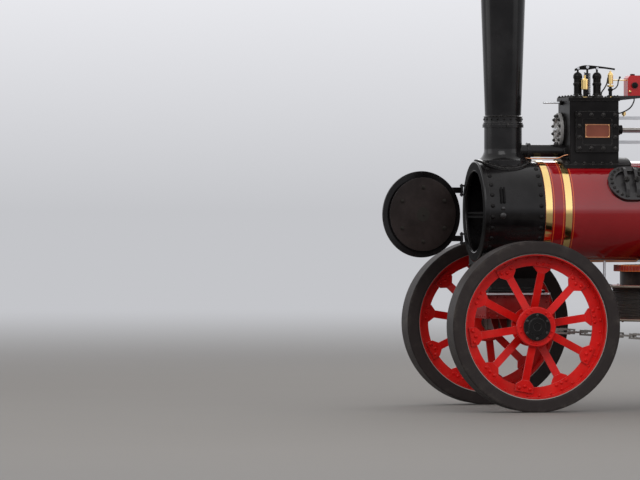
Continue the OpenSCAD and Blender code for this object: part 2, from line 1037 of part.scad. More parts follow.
module front_left_wheel() { wheel_at(0, front_track_y, front_tyre_r) front_wheel(); }
module front_right_wheel() { wheel_at(0, -front_track_y, front_tyre_r) front_wheel(); }
module front_left_tyre() {
  wheel_at(0, front_track_y, front_tyre_r)
    tyre(front_rim_r, front_tyre_r, front_tyre_w);
}
module front_right_tyre() {
  wheel_at(0, -front_track_y, front_tyre_r)
    tyre(front_rim_r, front_tyre_r, front_tyre_w);
}
module front_left_cap() { wheel_at(0, front_track_y, front_tyre_r) hub_cap(131, 118, 14); }
module front_right_cap() { wheel_at(0, -front_track_y, front_tyre_r) hub_cap(131, 118, 14); }
module hind_left_wheel() { wheel_at(hind_axle_x, hind_track_y, hind_tyre_r) hind_wheel(); }
module hind_right_wheel() { wheel_at(hind_axle_x, -hind_track_y, hind_tyre_r) hind_wheel(); }
module hind_left_tyre() {
  wheel_at(hind_axle_x, hind_track_y, hind_tyre_r)
    tyre(hind_rim_r, hind_tyre_r, hind_tyre_w);
}
module hind_right_tyre() {
  wheel_at(hind_axle_x, -hind_track_y, hind_tyre_r)
    tyre(hind_rim_r, hind_tyre_r, hind_tyre_w);
}
module hind_left_cap() { wheel_at(hind_axle_x, hind_track_y, hind_tyre_r) hub_cap(225, 150, 30); }
module hind_right_cap() { wheel_at(hind_axle_x, -hind_track_y, hind_tyre_r) hub_cap(225, 150, 30); }

// Axles and gear

hind_axle_r = 60;
housing_r = 115;

module hind_axle() {
  color(steel)
    at(hind_axle_x, 0, hind_tyre_r)
      bar_y(hind_axle_r, -1186, 1186);
  color(satin_black)
    at(hind_axle_x, 0, hind_tyre_r)
      both_sides()
        difference() {
          union() {
            bar_y(housing_r, horn_outer, 690);
            bar_y(housing_r + 45, horn_outer, horn_outer + 22);
          }
          bar_y(hind_axle_r, 400, 800);
          box([-300, horn_outer - 5, -300], [300, 690, -housing_r]);
        }
}

// Gears on the right: pinion on the crankshaft, two shafts between and the hind axle's gear.
// Gear tips run clear of the next gear's roots.
inner_gear_y = -484;
outer_gear_y = -545;
gear_thick = 44;
mesh_depth = 11;
road_tooth = 15;
crank_pinion_r = 92;
FIRST_SHAFT = [-2704, 2083];
SECOND_SHAFT = [-2944, 1580];
HIND_SHAFT = [hind_axle_x, hind_tyre_r];

function aim_from(a, b) = atan2(b[1] - a[1], b[0] - a[0]);

// Gear wheel with round holes in its disc
module holed_gear(points, bore, hole_r, hole_at, holes) {
  difference() {
    polygon(points);
    if (bore > 0)
      circle(r = bore);
    around(holes)
      translate([hole_at, 0])
        circle(r = hole_r);
  }
}

module road_gears() {
  down = aim_from(FIRST_SHAFT, SECOND_SHAFT);
  back = aim_from(SECOND_SHAFT, HIND_SHAFT);
  shaft_out = outer_gear_y - gear_thick - 14;
  color(satin_black)
    at()
      union() {
        translate([FIRST_SHAFT[0], 0, FIRST_SHAFT[1]])
          union() {
            plate_y(inner_gear_y - gear_thick, inner_gear_y)
              holed_gear(gear_points(388, road_tooth, 82, 40), 0, 68, 240, 5);
            plate_y(outer_gear_y - gear_thick, outer_gear_y)
              polygon(gear_points(130, road_tooth, 26, down));
            bar_y(38, shaft_out, -horn_outer);
            bar_y(75, outer_gear_y, -horn_outer);
          }
        translate([SECOND_SHAFT[0], 0, SECOND_SHAFT[1]])
          union() {
            plate_y(outer_gear_y - gear_thick, outer_gear_y)
              holed_gear(gear_points(438, road_tooth, 91, gap_aim(down + 180, 91)),
                0, 78, 275, 6);
            plate_y(inner_gear_y - gear_thick, inner_gear_y)
              polygon(gear_points(120, road_tooth, 20, back));
            bar_y(42, shaft_out, -horn_outer);
            bar_y(80, outer_gear_y, -horn_outer);
          }
      }
  color(satin_black)
    at(hind_axle_x, 0, hind_tyre_r)
      plate_y(inner_gear_y - gear_thick - 22, inner_gear_y - 22)
        holed_gear(gear_points(600, road_tooth, 104, gap_aim(back + 180, 104)),
          housing_r + 1, 105, 330, 8);
}

// Crankshaft with its webs, eccentrics, road pinion and the bevel of the plough drive
crank_journal_r = 48;

module crankshaft() {
  color(steel)
    at(crank_x, 0, cylinder_z)
      union() {
        bar_y(crank_journal_r, -840, cylinder_y - 50);
        bar_y(crank_journal_r, cylinder_y + 50, 760);
        for (side = [-1, 1])
          translate([0, cylinder_y + side * 72, 0])
            plate_y(-22, 22)
              union() {
                circle(r = 88);
                polygon([[0, -88], [0, 88], [crank_throw, 74], [crank_throw, -74]]);
                translate([crank_throw, 0])
                  circle(r = 74);
              }
        translate([crank_throw, cylinder_y, 0]) {
          bar_y(40, -60, 60);
          plate_y(-44, 44)
            round_rect([-big_end_r + 12, -big_end_r + 12],
              [big_end_r - 26, big_end_r - 12], 26);
        }
        for (ecc = ECCENTRICS)
          translate([ecc_throw * cos(ecc[1]), ecc[0], ecc_throw * sin(ecc[1])])
            difference() {
              union() {
                bar_y(ecc_strap_r - 14, -26, 26);
                bar_y(ecc_strap_r, -18, 18);
              }
              for (side = [-1, 1])
                translate([0, side * 26, 0])
                  bar_y(ecc_strap_r - 36, -5, 5);
            }
        plate_y(outer_gear_y - gear_thick, outer_gear_y)
          polygon(gear_points(crank_pinion_r, road_tooth, 18));
        translate([0, -745, 0])
          rotate([90, 0, 0])
            linear_extrude(height = 44)
              polygon(gear_points(122, 18, 25));
        bar_y(74, -815, -730);
      }
}

module flywheel() {
  mid = 640;
  rim = 48;
  color(wheel_red)
    at(crank_x, mid, cylinder_z)
      rotate([-90, 0, 0])
        difference() {
          union() {
            rotate_extrude()
              polygon([[flywheel_r - rim, -flywheel_w / 2],
                [flywheel_r - 6, -flywheel_w / 2], [flywheel_r, -flywheel_w / 2 + 6],
                [flywheel_r, flywheel_w / 2 - 6], [flywheel_r - 6, flywheel_w / 2],
                [flywheel_r - rim, flywheel_w / 2], [flywheel_r - rim, 24],
                [flywheel_r - rim - 34, 14], [flywheel_r - rim - 34, -14],
                [flywheel_r - rim, -24]]);
            cylinder(r = 118, h = 156, center = true);
            cylinder(r = 138, h = 70, center = true);
            around(6)
              translate([0, 0, -17])
                linear_extrude(height = 34)
                  polygon([[110, -52], [flywheel_r - 80, -32],
                    [flywheel_r - 60, -50], [flywheel_r - 60, 50],
                    [flywheel_r - 80, 32], [110, 52]]);
          }
          cylinder(r = crank_journal_r + bore_play, h = 400, center = true);
        }
}

// Winding drum

drum_stud_r = 60;

module drum_bracket() {
  nut_z = [690, drum_low_z - 6];
  color(satin_black)
    difference() {
      at(drum_x)
        union() {
          bar_z(drum_stud_r, 676, 1300);
          bar_z(105, nut_z[0], nut_z[1]);
          translate([0, 0, 1212])
            cylinder(r1 = 92, r2 = 165, h = 60);
          intersection() {
            box([-260, -190, 1200], [260, 190, 1330]);
            translate([0, 0, boiler_z])
              bar_x(boiler_r + 30, -400, 400);
          }
          for (angle = [0, 90, 180, 270])
            rotate([0, 0, angle])
              plate_y(-12, 12)
                polygon([[80, 1214], [230, 1250], [230, 1330], [0, 1330]]);
        }
      at(z = boiler_z)
        bar_x(boiler_r + gap, -3000, 0);
    }
}

module winding_drum() {
  gear_low_z = 1180;
  gear_high_z = 1236;
  color(drum_red)
    at(drum_x)
      difference() {
        union() {
          rotate_extrude()
            union() {
              polygon([[0, drum_low_z], [drum_flange_r - 6, drum_low_z],
                [drum_flange_r, drum_low_z + 6], [drum_flange_r, drum_low_z + 14],
                [drum_flange_r - 6, drum_low_z + 20], [330, drum_low_z + 20],
                [330, drum_high_z - 20], [drum_flange_r - 6, drum_high_z - 20],
                [drum_flange_r, drum_high_z - 14], [drum_flange_r, drum_high_z - 6],
                [drum_flange_r - 6, drum_high_z], [0, drum_high_z]]);
              translate([468, drum_high_z - 5])
                square([22, gear_high_z - drum_high_z + 5]);
              translate([0, drum_high_z - 10])
                square([120, 150]);
            }
          translate([0, 0, gear_low_z])
            linear_extrude(height = gear_high_z - gear_low_z)
              difference() {
                polygon(gear_points(drum_gear_r, 17, 84));
                circle(r = 480);
              }
          around(8)
            plate_y(-10, 10)
              polygon([[100, drum_high_z - 10], [475, drum_high_z - 10],
                [475, 1170], [100, 1120]]);
        }
        bar_z(drum_stud_r + bore_play, 600, 1400);
      }
}

module rope_coil() {
  turns = 12;
  low = drum_low_z + 20 + gap;
  pitch = (drum_high_z - drum_low_z - 40 - 2 * gap) / turns;
  color(rope_grey)
    at(drum_x)
      rotate_extrude()
        polygon(concat([[330 + gap, low]],
          [for (turn = [0 : turns - 1], part = [0, 0.25, 0.75])
            [part == 0 ? 548 : 557, low + (turn + part) * pitch]],
          [[548, low + turns * pitch], [330 + gap, low + turns * pitch]]));
}

// Upright shaft from the crankshaft's bevel down to the intermediate wheel of the drum
plough_shaft_y = -603;
idler_x = -2108;
idler_y = -430;
idler_r = 192;
plough_pinion_r = 104;

module plough_drive() {
  swing = aim_from([idler_x, idler_y], [crank_x, plough_shaft_y]);
  arm = -plough_shaft_y - horn_outer;
  color(satin_black)
    at(crank_x, plough_shaft_y, 0)
      union() {
        bar_z(30, 1150, 2284);
        bar_z(50, 2222, 2252);
        linear_extrude_at(2250, 34)
          polygon(gear_points(72, 14, 15));
        translate([0, 0, 1172])
          linear_extrude(height = 60)
            polygon(gear_points(plough_pinion_r, 16, 20, gap_aim(swing + 180, 20)));
        for (z = [1350, 2120])
          bar_z(55, z, z + 80);
        linear_extrude_at(1365, 50)
          polygon([[-50, 20], [50, 20], [20, arm], [-110, arm]]);
        linear_extrude_at(2135, 50)
          polygon([[0, -45], [60, -45], [96, 0], [96, arm], [50, arm], [50, 60], [0, 45]]);
      }
  color(satin_black)
    difference() {
      at(idler_x, idler_y)
        union() {
          translate([0, 0, 1180])
            linear_extrude(height = 46)
              holed_gear(gear_points(idler_r, 16, 37, swing), 0, 34, 118, 6);
          bar_z(40, 1160, 1320);
          bar_z(62, 1236, 1270);
          box([-60, -50, 1262], [60, 110, 1560]);
        }
      at(z = boiler_z)
        bar_x(boiler_r + gap, -3000, 0);
    }
}

// Flat pattern thickened upward from a height
module linear_extrude_at(z, height) {
  translate([0, 0, z])
    linear_extrude(height = height)
      children();
}

module rope_guide() {
  post_y = 720;
  color(satin_black)
    at(drum_x, 0, 0)
      union() {
        difference() {
          linear_extrude_at(700, 30)
            polygon([[-95, 0], [-50, 420], [-130, 650], [-130, post_y + 30],
              [130, post_y + 30], [130, 650], [50, 420], [95, 0]]);
          bar_z(106, 600, 800);
          box([-200, -10, 600], [200, 80, 800]);
        }
        for (x = [-110, 110])
          translate([x, post_y, 0])
            bar_z(18, 720, 1120);
        linear_extrude_at(1100, 30)
          round_rect([-135, post_y - 26], [135, post_y + 26], 24);
        for (x = [-46, 46])
          translate([x, post_y, 0])
            rotate_extrude()
              polygon([[0, 729], [38, 729], [38, 745], [26, 757], [26, 1073],
                [38, 1085], [38, 1101], [0, 1101]]);
      }
}

// Steering: chain roller under the boiler, worm wheel, worm and slanting column

roller_x = -2250;
roller_z = 620;
roller_r = 60;
column_y = 522;
worm_x = -2152;
worm_z = 706;
column_lean = -41.3;
column_l = 1800;

module steering_gear() {
  color(satin_black)
    at(roller_x, 0, roller_z)
      union() {
        bar_y(roller_r, -430, 430);
        bar_y(25, -505, 560);
        both_sides()
          union() {
            for (y = [190 : 30 : 310])
              translate([0, y, 0])
                bar_y(roller_r + 20, -9, 9);
            plate_y(horn_outer, horn_outer + 20)
              union() {
                circle(r = 60);
                polygon([[-60, 0], [60, 0], [20, 280], [-170, 280]]);
              }
          }
        translate([0, 500, 0])
          rotate([-90, 0, 0])
            linear_extrude(height = 45)
              holed_gear(gear_points(110, 12, 30), 0, 16, 62, 5);
      }
  color(steel)
    at(worm_x, column_y, worm_z)
      rotate([0, column_lean, 0])
        union() {
          bar_z(15, -70, column_l);
          bar_z(24, -50, 50);
          for (z = [-70, 78])
            bar_z(26, z, z + 24);
        }
  color(satin_black)
    at(worm_x, column_y, worm_z)
      rotate([0, column_lean, 0])
        translate([0, 0, 1050])
          union() {
            bar_z(30, -30, 30);
            bar_y(20, horn_outer - column_y, 0);
          }
  color(wheel_red)
    at(worm_x, column_y, worm_z)
      rotate([0, column_lean, 0])
        translate([0, 0, column_l])
          union() {
            rotate_extrude()
              translate([180, 0])
                circle(r = 14);
            cylinder(r = 34, h = 40, center = true);
            around(4)
              bar_x(10, 0, 180);
          }
}

// Chains: the last link ends under the axle's arm, and the other end meets the roller
chain_start_x = -215;
chain_start_z = 683;
link_length = 138;
link_width = 48;
link_bar = 14;
links = 18;

module steering_chains() {
  pitch = link_length - 2 * link_bar;
  run = (links - 1) * pitch + link_length;
  drop = (chain_start_z - (roller_z - roller_r - link_width / 2 - 2)) / run;
  color(steel)
    both_sides()
      at(chain_start_x, steer_arm_y, chain_start_z)
        rotate([0, -atan(drop), 0])
          for (i = [0 : links - 1])
            translate([-i * pitch - link_length / 2, 0, 0])
              rotate([i % 2 * 90, 0, 0])
                chain_link(link_length, link_width, link_bar);
}

module chain_link(long, wide, bar) {
  linear_extrude(height = bar - 1, center = true)
    difference() {
      square([long, wide], center = true);
      square([long - 2 * bar, wide - 2 * bar], center = true);
    }
}

// Footplate and tender

floor_z = 1110;
tender_front_x = -4050;
tender_back_x = -4750;
tender_y = 620;
gear_side_y = -476;
gear_clear_x = -3970;
wing_front_x = -3600;
sheet = 8;

// Plan of the tender's front part, which stands clear of the hind gear on the right
module tender_front_plan(front_x) {
  polygon([[tender_front_x - 1, -tender_y], [gear_clear_x, -tender_y],
    [gear_clear_x, gear_side_y], [front_x, gear_side_y], [front_x, tender_y],
    [tender_front_x - 1, tender_y]]);
}

// Plan of the bunker with round corners at the back
module bunker_plan(inset) {
  difference() {
    translate([tender_back_x + inset, -tender_y + inset])
      square([tender_front_x - tender_back_x - inset, 2 * (tender_y - inset)]);
    for (side = [-1, 1])
      bunker_corner(side, inset);
  }
}

// What a round corner of the bunker leaves away
corner_r = 28;
module bunker_corner(side, inset) {
  r = corner_r - inset;
  centre = [tender_back_x + corner_r, side * (tender_y - corner_r)];
  difference() {
    translate([tender_back_x + inset - 1, side > 0 ? centre.y : centre.y - r - 1])
      square([r + 1, r + 1]);
    translate(centre)
      circle(r = r);
  }
}

module footplate() {
  color(satin_black)
    at()
      linear_extrude_at(floor_z, 14)
        union() {
          translate([-3562, -firebox_y + 2])
            square([3562 + firebox_back_x - 2, 2 * (firebox_y - 2)]);
          translate([1, 0])
            tender_front_plan(-3561);
        }
}

bunker_z = floor_z + 20;

module tender() {
  color(boiler_red)
    at()
      union() {
        linear_extrude_at(620, bunker_z - 620)
          bunker_plan(0);
        linear_extrude_at(760, floor_z - 760)
          tender_front_plan(-3560);
        step_iron();
      }
}

// Plate walls of the bunker with their bead and top rim
module bunker_walls() {
  difference() {
    union() {
      linear_extrude_at(bunker_z, 1780 - bunker_z)
        bunker_plan(0);
      linear_extrude_at(1390, 20)
        bunker_plan(-6);
      linear_extrude_at(1768, 22)
        bunker_plan(-12);
    }
    linear_extrude_at(bunker_z - 10, 1000)
      bunker_plan(sheet);
  }
}

module bunker_sides() {
  low = [tender_back_x + corner_r, tender_y - sheet, bunker_z];
  color(boiler_red)
    at()
      both_sides()
        union() {
          intersection() {
            bunker_walls();
            box(low, [tender_front_x, tender_y + 20, 1800]);
          }
          plate_y(tender_y - sheet, tender_y)
            difference() {
              polygon([[tender_front_x - 1, bunker_z], [tender_front_x, bunker_z],
                [tender_front_x, floor_z + 14], [wing_front_x, floor_z + 14],
                [wing_front_x, 1500], [tender_front_x - 1, 1780]]);
              translate([wing_front_x - 50, 1860])
                circle(r = 330);
            }
        }
}

module bunker_back() {
  color(boiler_red)
    at()
      intersection() {
        bunker_walls();
        box([tender_back_x - 20, -tender_y - 20, bunker_z],
          [tender_back_x + corner_r, tender_y + 20, 1800]);
      }
}

module bunker_front() {
  color(boiler_red)
    at()
      box([tender_front_x - sheet, sheet - tender_y, bunker_z],
        [tender_front_x, tender_y - sheet, 1640]);
}

// Two treads behind the left hind wheel
module step_iron() {
  for (z = [500, 800])
    box([-4660, tender_y - 10, z], [-4440, tender_y + 150, z + 14]);
  for (x = [-4654, -4456])
    box([x, tender_y - 1, 500], [x + 10, tender_y + 9, 830]);
}

module drawbar() {
  color(satin_black)
    at(tender_back_x, 0, 700)
      difference() {
        union() {
          box([-20, -160, -60], [0, 160, 90]);
          for (low = [-30, 35])
            linear_extrude_at(low, 25)
              union() {
                polygon([[-120, -49], [-10, -100], [-10, 100], [-120, 49]]);
                translate([-120, 0])
                  circle(r = 49);
              }
        }
        translate([-120, 0, 0])
          bar_z(22, -100, 100);
      }
}

module ash_pan() {
  color(satin_black)
    at()
      plate_y(-400, 400)
        polygon([[-3000, foundation_z], [-2390, foundation_z], [-2390, 600], [-2470, 500],
          [-2930, 500], [-3000, 570]]);
}

module controls() {
  color(steel)
    at()
      union() {
        translate([-3240, -300, 0])
          union() {
            plate_y(-7, 7)
              polygon([[-22, floor_z + 14], [22, floor_z + 14], [60, 2080],
                [40, 2080]]);
            translate([50, 0, 2080])
              bar_z(15, -20, 130);
            plate_y(-24, -10)
              difference() {
                intersection() {
                  translate([0, 1150])
                    circle(r = 560);
                  translate([-160, 1500])
                    square([320, 300]);
                }
                translate([0, 1150])
                  circle(r = 500);
              }
            for (x = [-150, 130])
              box([x, -24, floor_z + 14], [x + 20, -10, 1680]);
          }
        translate([-3480, 390, 0])
          union() {
            bar_z(22, floor_z + 14, 1780);
            bar_z(45, floor_z + 14, floor_z + 40);
            bar_z(32, 1740, 1780);
            translate([0, 0, 1810])
              rotate_extrude()
                translate([100, 0])
                  circle(r = 10);
            bar_z(15, 1780, 1830);
            translate([0, 0, 1810])
              around(4)
                bar_x(8, 0, 100);
          }
      }
}

// Doors

// Dished outer side of the door: its radius, its depth and the height of its face at a radius
dish_r = 330;
dish_h = 44;
crown_r = (dish_r * dish_r + dish_h * dish_h) / (2 * dish_h);
function dish_at(r) = 14 + max(0, sqrt(crown_r * crown_r - r * r) - crown_r + dish_h);

module smokebox_door() {
  strap_z = 210;
  color(satin_black)
    at(door_hinge_x, door_hinge_y, door_z)
      rotate([0, 0, -door_open])
        difference() {
          union() {
            translate([door_face_x - door_hinge_x, -door_hinge_y, 0]) {
              bar_x(door_r, 0, 14);
              turned_x()
                polygon(concat([[0, 5]], [[dish_r, 5]],
                  [for (r = [dish_r : -30 : 0]) [r, dish_at(r)]]));
              for (height = [-strap_z, strap_z])
                linear_extrude_at(height - 25, 50)
                  polygon(concat([[8, 268], [8, -368]],
                    [for (y = [-368 : 53 : 268])
                      [dish_at(norm([y, strap_z])) + 12, y]]));
              bar_x(44, 50, 74);
              bar_x(20, 70, 128);
              bar_x(320, -24, -18);
              bar_x(60, -20, 2);
              for (angle = [200, 250])
                rotate([angle, 0, 0])
                  translate([angle < 220 ? 88 : 112, 0, 0])
                    bar_y(11, 0, 190);
            }
            for (height = [-210, 210])
              translate([0, 0, height]) {
                bar_z(door_knuckle_r, -29, 29);
                box([-11, 0, -25], [10, 90, 25]);
              }
          }
          bar_z(door_pin_r + hinge_play, -400, 400);
        }
}

module fire_door() {
  color(satin_black)
    at(firebox_back_x, 0, fire_hole_z)
      difference() {
        union() {
          bar_x(175, -24, -4);
          bar_x(120, -36, -24);
          for (z = [-120, 90]) {
            box([-24, 100, z], [-4, fire_hinge_y, z + 30]);
            translate([-14, fire_hinge_y, 0])
              bar_z(14, z, z + 30);
          }
          translate([-24, -150, -20])
            box([-30, -12, 0], [4, 12, 24]);
        }
        translate([-14, fire_hinge_y, 0])
          bar_z(7 + hinge_play, -200, 200);
      }
}

boiler_barrel();
boiler_bands();
firebox();
hornplates();
smokebox();
tube_plate();
door_crossbar();
chimney_base();
chimney_barrel();
cylinder_block();
valve_chest_cover();
cylinder_cover();
safety_valves();
safety_valve_casing();
whistle();
exhaust_pipe();
manhole();
slide_bars();
connecting_rod();
valve_gear();
lubricator();
perch_bracket();
drum_bracket();
plough_drive();
rope_guide();
steering_gear();
steering_chains();
road_gears();
hind_axle();
footplate();
tender();
bunker_sides();
bunker_back();
bunker_front();
drawbar();
ash_pan();
controls();
forecarriage();
front_axle();
front_left_wheel();
front_left_tyre();
front_left_cap();
front_right_wheel();
front_right_tyre();
front_right_cap();
hind_left_wheel();
hind_left_tyre();
hind_left_cap();
hind_right_wheel();
hind_right_tyre();
hind_right_cap();
crankshaft();
flywheel();
winding_drum();
rope_coil();
smokebox_door();
fire_door();
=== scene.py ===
"""Looks of a steam ploughing engine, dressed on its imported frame. Metres, +X forward, +Y left, +Z up.

Places along the engine are given from the front axle, forward positive, as in the construction drawing.
"""

from __future__ import annotations

import logging
import math
from dataclasses import dataclass
from enum import Enum
from typing import Any, Sequence

import bpy
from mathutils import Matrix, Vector


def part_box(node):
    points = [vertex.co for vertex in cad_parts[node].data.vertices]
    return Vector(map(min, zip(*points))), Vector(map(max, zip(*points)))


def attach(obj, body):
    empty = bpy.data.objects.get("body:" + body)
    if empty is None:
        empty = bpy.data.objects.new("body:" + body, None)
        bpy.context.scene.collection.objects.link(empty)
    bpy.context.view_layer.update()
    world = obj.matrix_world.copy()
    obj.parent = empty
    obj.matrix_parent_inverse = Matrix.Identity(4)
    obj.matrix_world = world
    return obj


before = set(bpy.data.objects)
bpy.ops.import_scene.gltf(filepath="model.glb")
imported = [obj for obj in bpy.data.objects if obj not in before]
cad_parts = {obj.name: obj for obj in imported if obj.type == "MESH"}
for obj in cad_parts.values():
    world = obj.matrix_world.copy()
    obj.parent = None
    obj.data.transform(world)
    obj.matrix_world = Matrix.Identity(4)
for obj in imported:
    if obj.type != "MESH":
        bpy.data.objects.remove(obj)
LOG = logging.getLogger("ploughing_engine")
TAU = 2 * math.pi
X, Y, Z = Vector((1, 0, 0)), Vector((0, 1, 0)), Vector((0, 0, 1))
Colour = tuple[float, float, float]
Pair = tuple[float, float]
Profile = Sequence[tuple[float, ...]]

AXLE = (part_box("front_left_tyre")[0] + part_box("front_left_tyre")[1]) / 2
HIND = (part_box("hind_left_tyre")[0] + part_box("hind_left_tyre")[1]) / 2
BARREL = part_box("boiler_barrel")
BOILER_Z = (BARREL[0].z + BARREL[1].z) / 2
BOILER_R = (BARREL[1].z - BARREL[0].z) / 2
SMOKEBOX_R = 0.43
CRANK_X = -2.35
CRANK_Z = 2.408
BORE_Y = -0.08
DRUM_X = -1.5


def at(x: float, y: float, z: float) -> Vector:
    """A place in the engine's frame: x ahead of the front axle, y to the left, z over the ground."""
    return Vector((AXLE.x + x, y, z))


def srgb(red: int, green: int, blue: int) -> Colour:
    """A linear colour from shares of 0 to 255 as they look on a screen."""
    return tuple(((v / 255 + 0.055) / 1.055) ** 2.4 for v in (red, green, blue))


def spread(low: float, high: float, count: int) -> list[float]:
    """Evenly spaced values from low to high, both ends among them."""
    return [low + (high - low) * i / (count - 1) for i in range(count)]


def frame_points(a: Pair, b: Pair, across: int, up: int) -> list[Pair]:
    """Places along the edge of a rectangle.

    Args:
        a: its lowest corner.
        b: its highest corner.
        across: places along each level side.
        up: places along each upright side.

    Returns:
        The places, each once.
    """
    found = [(s, t) for s in spread(a[0], b[0], across) for t in (a[1], b[1])]
    found += [(s, t) for t in spread(a[1], b[1], up)[1:-1] for s in (a[0], b[0])]
    return found


def smooth(path: Sequence[Vector], steps: int = 6) -> list[Vector]:
    """A curve through points.

    Args:
        path: the points that it passes through.
        steps: points made between each two.

    Returns:
        The curve's points.
    """
    found: list[Vector] = []
    for i in range(len(path) - 1):
        p0 = path[max(0, i - 1)]
        p1, p2 = path[i], path[i + 1]
        p3 = path[min(len(path) - 1, i + 2)]
        for k in range(steps):
            t = k / steps
            found.append(0.5 * (2 * p1 + (p2 - p0) * t + (2 * p0 - 5 * p1 + 4 * p2 - p3) * t * t
                                + (3 * p1 - p0 - 3 * p2 + p3) * t ** 3))
    return found + [path[-1]]


def angles(count: int, shift: float = 0.5) -> list[float]:
    """Angles that share a full turn evenly, set off by a share of one step."""
    return [TAU * (i + shift) / count for i in range(count)]


def swing(radius: float, angle: float) -> Pair:
    """The two coordinates of a place at a distance and a direction from a middle."""
    return radius * math.cos(angle), radius * math.sin(angle)


def on_shell(x: float, y: float, radius: float) -> tuple[Vector, Vector]:
    """A place on the upper half of a shell about the boiler's axis, and the way out of it."""
    out = Vector((0, y, math.sqrt(radius ** 2 - y * y))).normalized()
    return at(x, 0, BOILER_Z) + out * radius, out


def put(name: str, data: Any) -> bpy.types.Object:
    """Adds an object to the scene.

    Args:
        name: the object's name.
        data: its mesh, lamp or camera.

    Returns:
        The object.
    """
    item = bpy.data.objects.new(name, data)
    bpy.context.scene.collection.objects.link(item)
    return item


def aim(item: bpy.types.Object, way: Vector) -> None:
    """Turns a lamp or camera to look along a direction."""
    item.rotation_mode = "QUATERNION"
    item.rotation_quaternion = way.to_track_quat("-Z", "Y")


class Body(Enum):
    """The rigid bodies that pieces ride on."""

    ROOT = "root"
    CARRIAGE = "front_carriage"
    FRONT_LEFT = "wheel_front_left"
    FRONT_RIGHT = "wheel_front_right"
    HIND_LEFT = "wheel_hind_left"
    HIND_RIGHT = "wheel_hind_right"
    CRANK = "crank"
    DRUM = "drum"
    DOOR = "front_door"


class Slot(Enum):
    """The record's material slots."""

    BOILER = "boiler_paint"
    WHEEL = "wheel_paint"
    DRUM = "drum_paint"
    BLACK = "black_paint"
    SOOT = "sooty_iron"
    IRON = "grey_iron"
    STEEL = "bright_steel"
    BRASS = "brass"


class Sock:
    """A shader socket that takes part in plain arithmetic."""

    def __init__(self, net: Net, socket: bpy.types.NodeSocket) -> None:
        """Holds an output socket and the tree that it belongs to."""
        self.net = net
        self.socket = socket

    def _math(self, operation: str, first: Any, second: Any = None) -> Sock:
        """One Math node, with one or two values or sockets."""
        inputs = {0: first} if second is None else {0: first, 1: second}
        return self.net.node("ShaderNodeMath", {"operation": operation}, inputs)

    def __add__(self, other: Any) -> Sock:
        """Sum."""
        return self._math("ADD", self, other)

    __radd__ = __add__

    def __mul__(self, other: Any) -> Sock:
        """Product."""
        return self._math("MULTIPLY", self, other)

    __rmul__ = __mul__

    def __sub__(self, other: Any) -> Sock:
        """Difference."""
        return self._math("SUBTRACT", self, other)

    def __rsub__(self, other: Any) -> Sock:
        """Difference from a number."""
        return self._math("SUBTRACT", other, self)

    def __abs__(self) -> Sock:
        """Absolute value."""
        return self._math("ABSOLUTE", self)

    def bearing(self, along: Sock) -> Sock:
        """The angle whose tangent is this over another measure."""
        return self._math("ARCTAN2", self, along)

    def sine(self) -> Sock:
        """Sine."""
        return self._math("SINE", self)

    def root(self) -> Sock:
        """Square root."""
        return self._math("SQRT", self)

    def ease(self, low: float, high: float) -> Sock:
        """A smooth step.

        Args:
            low: where it is 0.
            high: where it is 1, which may be less than low.

        Returns:
            A value from 0 to 1.
        """
        down = low > high
        span = (high, low) if down else (low, high)
        settings = {"interpolation_type": "SMOOTHSTEP"}
        step = self.net.node("ShaderNodeMapRange", settings, {0: self, 1: span[0], 2: span[1]})
        return 1 - step if down else step

    def within(self, low: float, high: float, soft: float) -> Sock:
        """1 between two values and 0 outside them, with edges of twice the width soft."""
        return self.ease(low - soft, low + soft) * self.ease(high + soft, high - soft)


